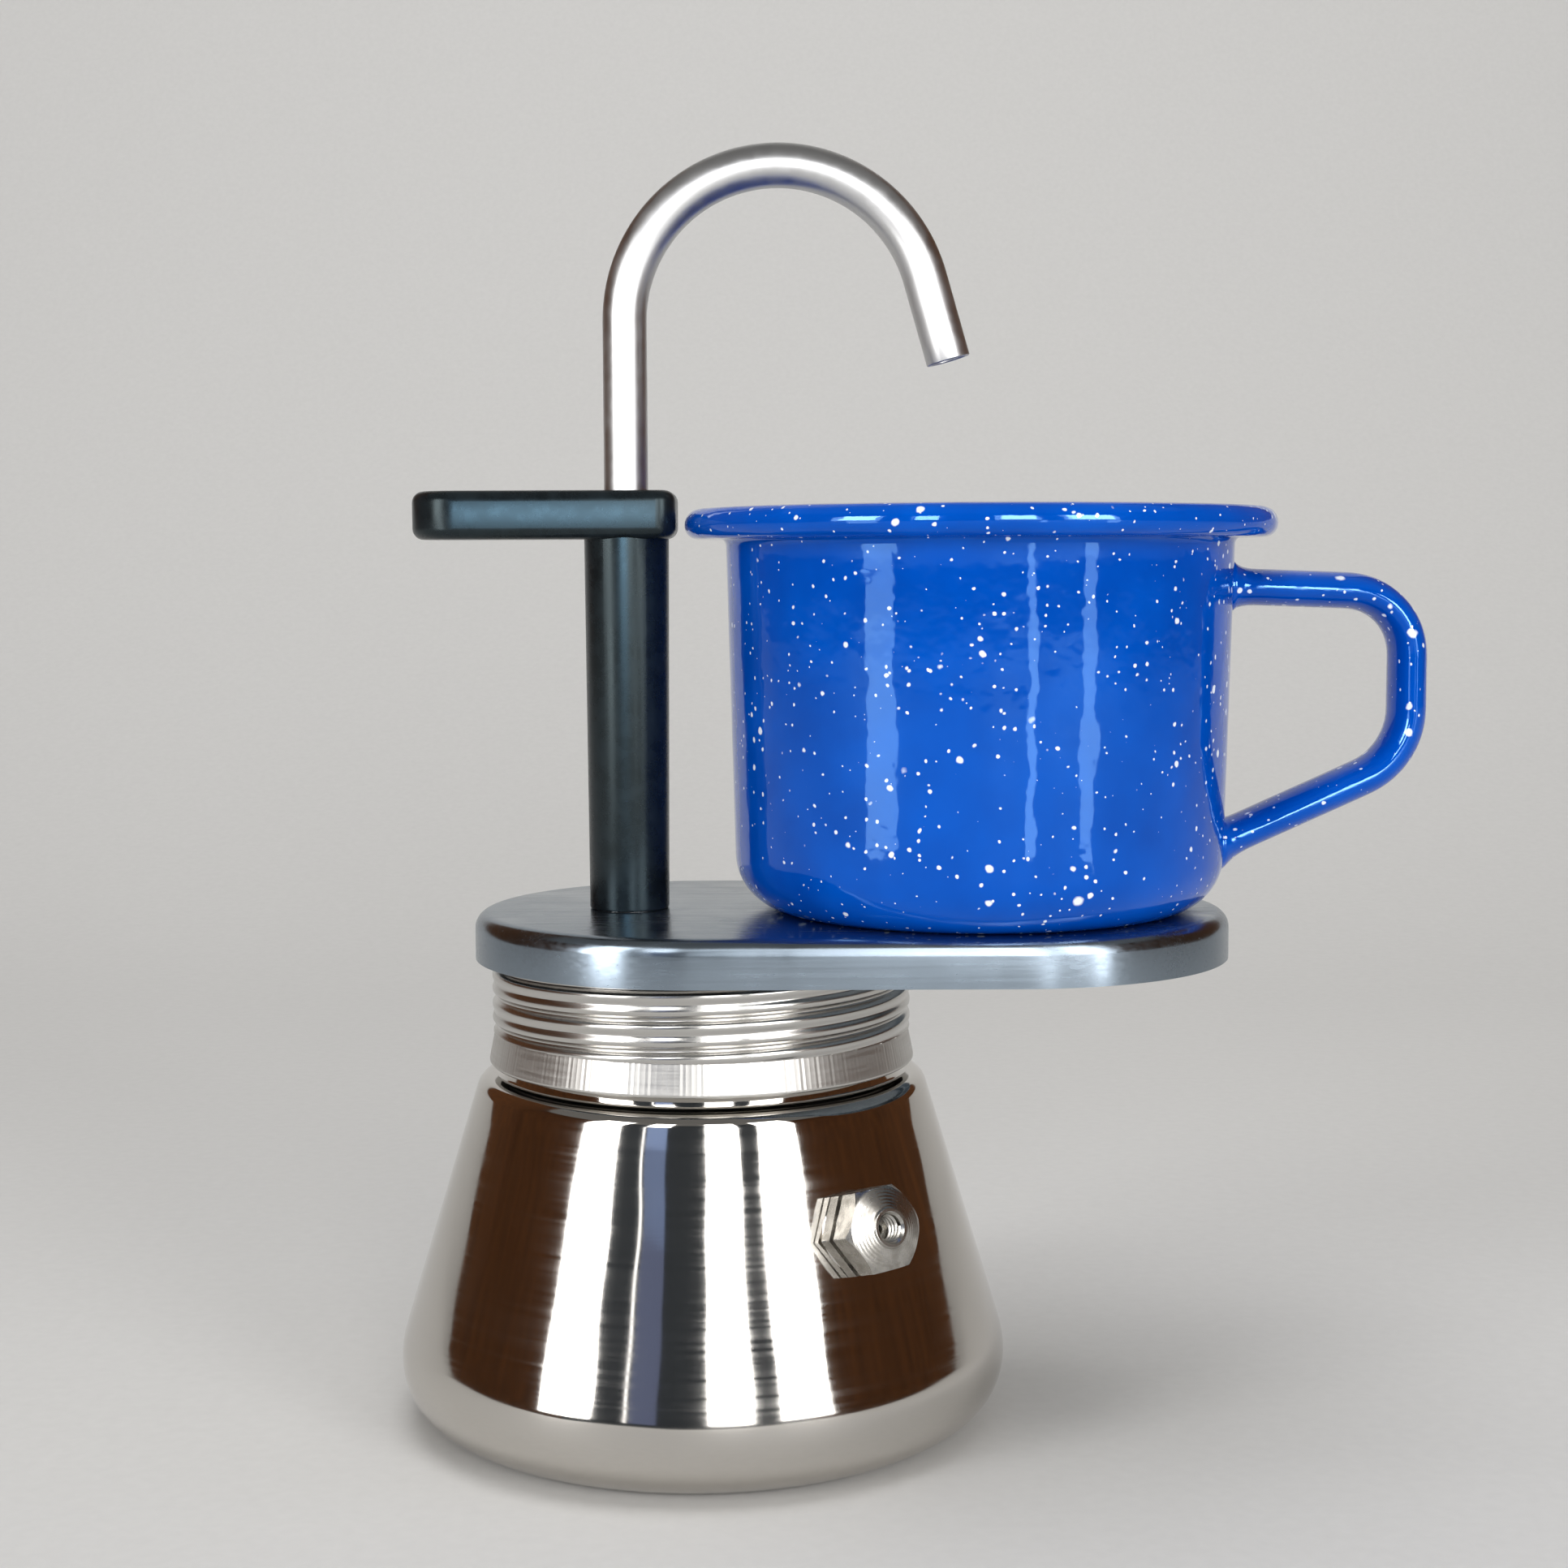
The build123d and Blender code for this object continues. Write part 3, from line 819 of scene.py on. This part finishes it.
for before, step in zip(WELD[::-1], WELD[-2::-1]):
    draw_on(ways[-1], before[0], 1)
    spread(step[1] / before[1], step[2] / before[2])
    bpy.ops.transform.rotate(value=-slant / (len(WELD) - 1), orient_axis="Y", center_override=place * MM)
close_up(strap)
close_ends(strap)
apply_modifier(strap, "SUBSURF", levels=1, render_levels=1)
smooth(strap, 60)
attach(strap, "cup")
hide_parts("cup_handle")
report(strap)

# %% [markdown]
# Materials. Colours are written as sRGB hex values and turned to the linear values that shaders add up
# in. One small function adds a node with its settings and links, and the start that all names of shader
# nodes share. Object coordinates are in metres, so a pattern that repeats each so many millimetres has
# a scale of 1000 over that size.

# %% Helpers for materials
def colour(code):
    """Linear colour of an sRGB hex value."""
    parts = [int(code[i:i + 2], 16) / 255 for i in (1, 3, 5)]
    return [c / 12.92 if c <= 0.04045 else ((c + 0.055) / 1.055) ** 2.4 for c in parts] + [1.0]


def feed(made, sockets):
    """Give a node's sockets values or links; another node stands for its first output."""
    for name, value in sockets.items():
        if isinstance(value, bpy.types.Node):
            value = value.outputs[0]
        if isinstance(value, bpy.types.NodeSocket):
            made.id_data.links.new(value, made.inputs[name])
        else:
            made.inputs[name].default_value = value


def node(tree, kind, sockets=None, stops=(), **settings):
    """Add a node with its settings, feed its sockets and set a ramp's stops: positions and hex values."""
    made = tree.nodes.new("ShaderNode" + kind)
    for key, value in settings.items():
        setattr(made, key, value)
    for i, (position, code) in enumerate(stops):
        made.color_ramp.elements[i].position = position
        made.color_ramp.elements[i].color = colour(code)
    feed(made, sockets or {})
    return made


def new_material(name, **sockets):
    """A material with one Principled shader; socket names are given with underscores for spaces."""
    made = bpy.data.materials.new(name)
    made.use_nodes = True
    tree = made.node_tree
    tree.nodes.clear()
    shader = node(tree, "BsdfPrincipled", {k.replace("_", " "): v for k, v in sockets.items()})
    node(tree, "OutputMaterial", {"Surface": shader})
    where = node(tree, "TexCoord").outputs["Object"]
    return made, tree, shader, where


def per_mm(size):
    """Texture scale for a pattern that repeats each so many millimetres."""
    return 1 / (size * MM)


def dress(material, *pieces):
    """Give pieces one material all over."""
    for piece in pieces:
        piece.data.materials.clear()
        piece.data.materials.append(material)
    print(material.name, "on", ", ".join(p.name for p in pieces))


# %% [markdown]
# Polished stainless steel: pressed, then buffed on a wheel while it turns. To the eye it is a mirror
# with a faint wave in it from the pressing, and hair-fine polishing lines that run round it.

# %% Polished stainless steel
polished, tree, shader, where = new_material("stainless_steel_polished", Base_Color=colour("#C9C5BF"),
                                             Metallic=1.0)
ring_lines = node(tree, "Mapping", {"Vector": where, "Scale": (per_mm(40), per_mm(40), per_mm(0.5))})
lines = node(tree, "TexNoise", {"Vector": ring_lines, "Scale": 1.0, "Detail": 3.0})
smears = node(tree, "TexNoise",
              {"Vector": where, "Scale": per_mm(14), "Detail": 4.0, "Distortion": 0.6})
haze = node(tree, "Math", {0: lines, 1: smears}, operation="MULTIPLY")
rough = node(tree, "MapRange",
             {"Value": haze, "From Min": 0.1, "From Max": 0.45, "To Min": 0.045, "To Max": 0.12})
wave = node(tree, "TexNoise", {"Vector": where, "Scale": per_mm(16), "Detail": 1.0})
waves = node(tree, "Bump", {"Height": wave, "Strength": 0.5, "Distance": 0.4 * MM})
fine = node(tree, "Bump", {"Height": lines, "Normal": waves, "Strength": 0.06, "Distance": 0.02 * MM})
feed(shader, {"Roughness": rough, "Normal": fine})
dress(polished, boiler)

# %% [markdown]
# Rolled stainless steel: the same sheet after the thread rollers, buffed less because a wheel does not
# reach into the grooves. It is satin, so each swell carries one soft highlight for each light. The
# knurled hem is duller still, because it is not buffed after knurling.

# %% Rolled stainless steel
KNURL_END = 49.6

rolled, tree, shader, where = new_material("stainless_steel_rolled", Base_Color=colour("#C6C4C0"),
                                           Metallic=1.0)
ring_lines = node(tree, "Mapping", {"Vector": where, "Scale": (per_mm(12), per_mm(12), per_mm(0.35))})
lines = node(tree, "TexNoise", {"Vector": ring_lines, "Scale": 1.0, "Detail": 3.0})
rough = node(tree, "MapRange",
             {"Value": lines, "From Min": 0.3, "From Max": 0.7, "To Min": 0.16, "To Max": 0.27})
height = node(tree, "SeparateXYZ", {"Vector": where})
knurled = node(tree, "MapRange",
               {"Value": height.outputs["Z"], "From Min": KNURL_END * MM, "From Max": HEM_HIGH * MM,
                "To Min": 0.15, "To Max": 0.0})
dull = node(tree, "Math", {0: rough, 1: knurled}, operation="ADD")
fine = node(tree, "Bump", {"Height": lines, "Strength": 0.12, "Distance": 0.02 * MM})
feed(shader, {"Roughness": dull, "Normal": fine})
dress(rolled, collar)

# %% [markdown]
# Pressed stainless steel: sheet with its mill finish, brushed along its length. It mirrors things close
# to it and blurs what is further away, because the brushing spreads the reflection.

# %% Pressed stainless steel
# The blue-grey base colour is a painted tint of bluish light: it colours every reflection in this steel.
pressed, tree, shader, where = new_material("stainless_steel_brushed", Base_Color=colour("#88949F"),
                                            Metallic=1.0)
brushed = node(tree, "Mapping", {"Vector": where, "Scale": (per_mm(30), per_mm(0.4), per_mm(0.4))})
lines = node(tree, "TexNoise", {"Vector": brushed, "Scale": 1.0, "Detail": 4.0})
smears = node(tree, "TexNoise", {"Vector": where, "Scale": per_mm(9), "Detail": 5.0, "Distortion": 0.8})
haze = node(tree, "Math", {0: lines, 1: smears}, operation="ADD")
rough = node(tree, "MapRange",
             {"Value": haze, "From Min": 0.7, "From Max": 1.3, "To Min": 0.16, "To Max": 0.30})
fine = node(tree, "Bump", {"Height": lines, "Strength": 0.10, "Distance": 0.03 * MM})
feed(shader, {"Roughness": rough, "Normal": fine})
dress(pressed, tray, nodes["funnel_cup"], nodes["funnel_sieve"], nodes["filter_plate"])

# %% [markdown]
# Drawn stainless tube: pulled through a die, then tumbled. It is satin all over, with one broad soft
# highlight along it and small dull patches where it was handled.

# %% Drawn stainless steel
drawn, tree, shader, where = new_material("stainless_steel_drawn", Base_Color=colour("#C8C8C8"),
                                          Metallic=1.0)
grain = node(tree, "TexNoise", {"Vector": where, "Scale": per_mm(1.5), "Detail": 2.0})
patches = node(tree, "TexNoise", {"Vector": where, "Scale": per_mm(6), "Detail": 3.0})
haze = node(tree, "Math", {0: grain, 1: patches}, operation="ADD")
rough = node(tree, "MapRange",
             {"Value": haze, "From Min": 0.7, "From Max": 1.3, "To Min": 0.32, "To Max": 0.42})
fine = node(tree, "Bump", {"Height": grain, "Strength": 0.03, "Distance": 0.02 * MM})
feed(shader, {"Roughness": rough, "Normal": fine})
dress(drawn, spout, nodes["funnel_stem"], nodes["spout_bush"])

# %% [markdown]
# Turned steel: the cutting tool leaves fine rings round the lathe's axis, so a Mapping node lays the
# pattern's own axis along the valve. The real rings are finer than a tenth of a millimetre; they are
# drawn at four tenths, so that they show. A wave texture makes 20 / tau rings in each unit.

# %% Turned stainless steel
RING_WIDTH = 0.4

turned, tree, shader, where = new_material("stainless_steel_turned", Metallic=1.0)
at_valve = node(tree, "Mapping",
                {"Vector": where, "Location": valve_place * MM, "Rotation": valve_turn.to_euler()},
                vector_type="TEXTURE")
rings = node(tree, "TexWave",
             {"Vector": at_valve, "Scale": per_mm(RING_WIDTH) * math.tau / 20, "Distortion": 0.4,
              "Detail": 2.0}, wave_type="RINGS", rings_direction="Z")
stain = node(tree, "TexNoise", {"Vector": where, "Scale": per_mm(1.8), "Detail": 4.0})
tone = node(tree, "ValToRGB", {"Fac": stain}, stops=((0.35, "#9A968F"), (0.6, "#BCB9B3")))
rough = node(tree, "MapRange",
             {"Value": stain, "From Min": 0.3, "From Max": 0.7, "To Min": 0.34, "To Max": 0.20})
fine = node(tree, "Bump", {"Height": rings.outputs["Fac"], "Strength": 0.4, "Distance": 0.03 * MM})
feed(shader, {"Base Color": tone, "Roughness": rough, "Normal": fine})
dress(turned, valve, nodes["valve_nut"], nodes["valve_washer"], nodes["valve_poppet"],
      nodes["valve_adjuster"])

# %% [markdown]
# Spring steel: wire with a faint straw tint from its tempering, drawn and a little oily. It is hidden in
# the valve, so a tint and a roughness that vary along the wire are enough.

# %% Spring steel
spring, tree, shader, where = new_material("spring_steel_wire", Metallic=1.0)
temper = node(tree, "TexNoise", {"Vector": where, "Scale": per_mm(0.8), "Detail": 2.0})
tone = node(tree, "ValToRGB", {"Fac": temper}, stops=((0.0, "#8E857A"), (1.0, "#B9B0A0")))
rough = node(tree, "MapRange", {"Value": temper, "To Min": 0.2, "To Max": 0.4})
feed(shader, {"Base Color": tone, "Roughness": rough})
dress(spring, coil)

# %% [markdown]
# Silicone rubber: moulded, milky and soft. It is matt, with a fine tooth that takes up coffee stains.

# %% Silicone rubber
silicone, tree, shader, where = new_material("silicone_moulded", Roughness=0.6, IOR=1.41)
stain = node(tree, "TexNoise", {"Vector": where, "Scale": per_mm(7), "Detail": 4.0})
tone = node(tree, "ValToRGB", {"Fac": stain}, stops=((0.0, "#C4B6A2"), (1.0, "#E0DAD0")))
tooth = node(tree, "TexNoise", {"Vector": where, "Scale": per_mm(0.4), "Detail": 2.0})
fine = node(tree, "Bump", {"Height": tooth, "Strength": 0.15, "Distance": 0.03 * MM})
feed(shader, {"Base Color": tone, "Normal": fine})
dress(silicone, nodes["seal_ring"], nodes["valve_gasket"])

# %% [markdown]
# Black phenolic plastic: pressed hot in a steel mould, with a satin gloss that has dulled in places from
# hands and heat, and light dust on it.

# %% Black plastic
# The specular tint is painted light: it colours every reflection in the plastic teal, as bluish light
# would.
plastic, tree, shader, where = new_material("phenolic_plastic_moulded", IOR=1.58, Specular_IOR_Level=0.3,
                                            Specular_Tint=(0.75, 0.95, 1.0, 1.0))
dust = node(tree, "TexNoise", {"Vector": where, "Scale": per_mm(3), "Detail": 6.0, "Roughness": 0.65})
tone = node(tree, "ValToRGB", {"Fac": dust}, stops=((0.35, "#0B0E10"), (0.75, "#171C1F")))
rough = node(tree, "MapRange",
             {"Value": dust, "From Min": 0.3, "From Max": 0.7, "To Min": 0.24, "To Max": 0.32})
skin = node(tree, "TexNoise", {"Vector": where, "Scale": per_mm(0.5), "Detail": 3.0})
fine = node(tree, "Bump", {"Height": skin, "Strength": 0.08, "Distance": 0.02 * MM})
feed(shader, {"Base Color": tone, "Roughness": rough, "Normal": fine})
dress(plastic, handle)

# %% [markdown]
# Vitreous enamel: coloured glass fired onto steel. It is deep cobalt blue with white specks that were
# spattered on before firing, from dust to drops of a millimetre, and its surface runs in slow waves,
# so that reflections of upright lights snake a little. Each of three cell patterns gives specks of one
# spacing and largest radius, and a slow noise makes them crowd in places.

# %% Blue speckled enamel
SPECKS = ((5.0, 0.95), (2.6, 0.58), (1.2, 0.34))
SPECK_EDGE = 0.72

# The specular tint is painted: it colours every reflection in the enamel blue, though the glass itself
# mirrors its surroundings untinted.
enamel, tree, shader, where = new_material("vitreous_enamel_fired", Roughness=0.05, IOR=1.52,
                                           Specular_Tint=(0.3, 0.62, 1.0, 1.0))
clusters = node(tree, "TexNoise", {"Vector": where, "Scale": per_mm(12), "Detail": 2.0})
crowding = node(tree, "MapRange",
                {"Value": clusters, "From Min": 0.38, "From Max": 0.62, "To Min": 0.55, "To Max": 1.0})
blur = node(tree, "TexNoise", {"Vector": where, "Scale": per_mm(0.9), "Detail": 1.0})
ragged = node(tree, "VectorMath", {0: blur.outputs["Color"], 1: (0.4 * MM,) * 3, 2: where},
              operation="MULTIPLY_ADD")
speckle = None
for spacing, radius in SPECKS:
    cells = node(tree, "TexVoronoi", {"Vector": ragged, "Scale": per_mm(spacing)})
    chance = node(tree, "SeparateColor", {"Color": cells.outputs["Color"]})
    size = node(tree, "Math", {0: chance.outputs["Red"], 1: crowding}, operation="MULTIPLY")
    reach = node(tree, "Math", {0: size, 1: radius / spacing}, operation="MULTIPLY")
    edge = node(tree, "Math", {0: reach, 1: SPECK_EDGE}, operation="MULTIPLY")
    spot = node(tree, "MapRange",
                {"Value": cells.outputs["Distance"], "From Min": reach, "From Max": edge})
    if speckle is None:
        speckle = spot
    else:
        speckle = node(tree, "Math", {0: speckle, 1: spot}, operation="MAXIMUM")
depth = node(tree, "TexNoise", {"Vector": where, "Scale": per_mm(9), "Detail": 3.0})
ground = node(tree, "ValToRGB", {"Fac": depth}, stops=((0.3, "#0046AA"), (0.7, "#0050BA")))
mixed = node(tree, "Mix", {"Factor": speckle, 6: ground, 7: colour("#E9EFFA")}, data_type="RGBA")
run = node(tree, "Mapping", {"Vector": where, "Scale": (per_mm(9), per_mm(9), per_mm(16))})
wave = node(tree, "TexNoise", {"Vector": run, "Scale": 1.0, "Detail": 2.0})
waves = node(tree, "Bump", {"Height": wave, "Strength": 0.5, "Distance": 0.35 * MM})
peel = node(tree, "TexNoise", {"Vector": where, "Scale": per_mm(3.5), "Detail": 2.0})
fine = node(tree, "Bump", {"Height": peel, "Normal": waves, "Strength": 0.5, "Distance": 0.1 * MM})
feed(shader, {"Base Color": mixed.outputs[2], "Normal": fine})
dress(enamel, cup, strap)

# %% [markdown]
# The studio, with its sizes in metres: a pale floor that curves up behind into a backdrop, so that no
# horizon line shows. Polished metal shows its surroundings, so the lights are what gives the boiler its
# looks: tall softboxes in front with dark gaps between them make the bright and dark bands of the cone.

# %% Floor and backdrop
FLOOR_FRONT = -1.6
FLOOR_BACK = 0.9
FLOOR_HALF = 2.6
BACKDROP_HEIGHT = 2.2
SWEEP_ROUND = 0.6

put_down()
bpy.ops.mesh.primitive_plane_add(size=1, location=(0, (FLOOR_FRONT + FLOOR_BACK) / 2, 0))
floor = bpy.context.object
floor.name = "studio_floor"
floor.scale = (2 * FLOOR_HALF, FLOOR_BACK - FLOOR_FRONT, 1)
settle(floor)
pick(floor, lambda p: p.y > 0)
extrude((0, 0, BACKDROP_HEIGHT))
pick(floor, lambda p: p.y > 0 and p.z < 1)
bpy.ops.mesh.bevel(offset=SWEEP_ROUND, segments=24, affect="EDGES")
put_down()
smooth(floor, 60)
paper, tree, shader, where = new_material("studio_paper", Roughness=0.7)
fibre = node(tree, "TexNoise", {"Vector": where, "Scale": per_mm(2), "Detail": 3.0})
tone = node(tree, "ValToRGB", {"Fac": fibre}, stops=((0.0, "#D5D4D2"), (1.0, "#DDDCDA")))
feed(shader, {"Base Color": tone})
dress(paper, floor)

# %% [markdown]
# Between the softboxes the steel has to mirror something dark, so a dark curtain hangs behind them in a
# half circle and on along both sides towards the backdrop, as black flags do in a studio. It is grey in
# front, between the softboxes, and brown at the sides. Only mirrored rays see it: it does not darken the
# floor, and the camera looks through it.

# %% Dark curtain
CURTAIN_RADIUS = 1.5
CURTAIN_TOP = 1.3
CURTAIN_LIFT = 0.002
CURTAIN_END = 0.25
WING_IN = 1.05
WING_BACK = 0.62
GREY_MIDDLE = -0.09
GREY_HALF = 1.05

put_down()
bpy.ops.mesh.primitive_cylinder_add(vertices=72, radius=CURTAIN_RADIUS, depth=CURTAIN_TOP,
                                    end_fill_type="NOTHING",
                                    location=(0, 0, CURTAIN_TOP / 2 + CURTAIN_LIFT))
curtain = bpy.context.object
curtain.name = "dark_curtain"
settle(curtain)
pick(curtain, lambda p: True)
bpy.ops.mesh.bisect(plane_co=(0, CURTAIN_END, 0), plane_no=(0, 1, 0), clear_outer=True)
end_line = CURTAIN_END / MM - 0.1
for side in (-1, 1):
    pick_lines(curtain, lambda a, b: min(a.y, b.y) > end_line and a.x * side > 0 and abs(a.z - b.z) > 1)
    extrude((-WING_IN * side, WING_BACK, 0))
put_down()
curtain.visible_camera = False
curtain.visible_diffuse = False
curtain.visible_shadow = False
cloth, tree, shader, where = new_material("dark_felt", Roughness=0.9)
nap = node(tree, "TexNoise", {"Vector": where, "Scale": per_mm(60), "Detail": 2.0})
tone = node(tree, "ValToRGB", {"Fac": nap}, stops=((0.0, "#37200C"), (1.0, "#74441A")))
spot = node(tree, "SeparateXYZ", {"Vector": where})
middle = node(tree, "Math", {0: spot.outputs["X"], 1: GREY_MIDDLE, 2: GREY_HALF}, operation="COMPARE")
ahead = node(tree, "Math", {0: spot.outputs["Y"], 1: 0.0}, operation="LESS_THAN")
grey = node(tree, "Math", {0: middle, 1: ahead}, operation="MULTIPLY")
mixed = node(tree, "Mix", {"Factor": grey, 6: tone, 7: colour("#4A5057")}, data_type="RGBA")
feed(shader, {"Base Color": mixed.outputs[2]})
dress(cloth, curtain)

# %% [markdown]
# Tall softboxes stand in a half circle in front, like the windows of a room. A softbox's width sets how
# wide its mirrored strip is, and its level how bright its face looks, whatever its size. Some lamps are
# linked to a few pieces, as a photographer shades a light off the rest: high strips that only the steel
# mirrors, low strips for the cup and tray, sparks for the enamel's gloss, a card for the plastic and a
# fill for the spout. One overhead light, which nothing mirrors, gives the soft shadow.

# %% Lights
LIGHT_DISTANCE = 1.2
LIGHT_RAISE = 0.05
WORLD_LEVEL = 0.25
OVERHEAD_SIZE = 0.9
OVERHEAD_LEVEL = 3.0
LEFT, MIDDLE, INNER, RIGHT = -49.5, -20.5, 11.3, 39.3
WINDOW_LOW, WINDOW_TOP = 1, 27
WINDOW_LEVEL = 7.0


def softbox(name, azimuth, width, low, high, level, tint="#FFFFFF", distance=LIGHT_DISTANCE):
    """An upright softbox: azimuth from the camera's side towards +X and width in degrees, its lower and
    upper edge as elevations in degrees, and how bright its face looks."""
    turn = math.radians(azimuth)
    bottom = distance * math.tan(math.radians(low))
    top = distance * math.tan(math.radians(high))
    across = 2 * distance * math.tan(math.radians(width / 2))
    put_down()
    bpy.ops.object.light_add(type="AREA", location=(distance * math.sin(turn), -distance * math.cos(turn),
                                                    (bottom + top) / 2 + LIGHT_RAISE),
                             rotation=(math.pi / 2, 0, turn))
    lamp = bpy.context.object
    lamp.name = name
    lamp.data.shape = "RECTANGLE"
    lamp.data.size = across
    lamp.data.size_y = top - bottom
    lamp.data.energy = level * math.pi * across * (top - bottom)
    lamp.data.color = colour(tint)[:3]
    lamp.visible_camera = False
    return lamp


def only_on(lamp, *pieces):
    """Let a lamp shine on these pieces alone."""
    lit = bpy.data.collections.new("lit_by_" + lamp.name)
    for piece in pieces:
        lit.objects.link(piece)
    lamp.light_linking.receiver_collection = lit


softbox("window_left", LEFT, 20, WINDOW_LOW, WINDOW_TOP, WINDOW_LEVEL)
softbox("window_left_edge", -27, 1.0, WINDOW_LOW, WINDOW_TOP, 3.0)
softbox("window_left_high", MIDDLE, 10, 19.5, WINDOW_TOP, 0.9, "#9DB6EA")
softbox("window_left_middle", MIDDLE, 10, 17.2, 19.5, 0.6, "#93A9DC")
softbox("window_left_low", MIDDLE, 10, WINDOW_LOW, 17.2, 0.42, "#8C98C8")
softbox("window_right_inner", INNER, 16.5, WINDOW_LOW, WINDOW_TOP, WINDOW_LEVEL)
softbox("window_right", RIGHT, 20, WINDOW_LOW, WINDOW_TOP, WINDOW_LEVEL)
only_on(softbox("card", -5.5, 18, 1.5, 9, 27.0, "#BFE3FF"), handle)
TOPS = (("top_left", LEFT, 20), ("top_middle", MIDDLE, 12), ("top_inner", INNER, 16.5),
        ("top_right", RIGHT, 20))
for name, azimuth, width in TOPS:
    only_on(softbox(name, azimuth, width, WINDOW_TOP, 50, 6.0), boiler, collar, tray, valve)
only_on(softbox("spout_fill", -14, 34, WINDOW_LOW, WINDOW_TOP, 5.0, distance=1.16), spout)
LOW_STRIPS = (("low_left", -44.5, 14, 5.4), ("low_middle", 23, 3.4, 6.5), ("low_right", 47.5, 6.2, 5.6))
for name, azimuth, width, level in LOW_STRIPS:
    only_on(softbox(name, azimuth, width, -6, 5, level, distance=0.45), cup, strap, tray, handle, spout)
SPARKS = (("spark_left", LEFT, 16), ("spark_edge", MIDDLE, 10), ("spark_inner", INNER, 14),
          ("spark_right", RIGHT, 16))
for name, azimuth, width in SPARKS:
    spark = softbox(name, azimuth, width, 6, WINDOW_TOP, 28.0, distance=1.12)
    spark.visible_diffuse = False
    only_on(spark, cup, strap)
put_down()
bpy.ops.object.light_add(type="AREA", location=(0, -0.1, 1.3))
overhead = bpy.context.object
overhead.name = "overhead"
overhead.data.size = OVERHEAD_SIZE
overhead.data.energy = OVERHEAD_LEVEL * math.pi * OVERHEAD_SIZE ** 2
overhead.visible_glossy = False

world = bpy.data.worlds.new("studio_air")
world.use_nodes = True
world.node_tree.nodes["Background"].inputs["Color"].default_value = colour("#E0DEDB")
world.node_tree.nodes["Background"].inputs["Strength"].default_value = WORLD_LEVEL
bpy.context.scene.world = world
bpy.context.scene.view_settings.view_transform = "Standard"

# %% [markdown]
# Last, nothing is left selected and no piece is left in edit mode.

# %% Leave nothing selected
put_down()
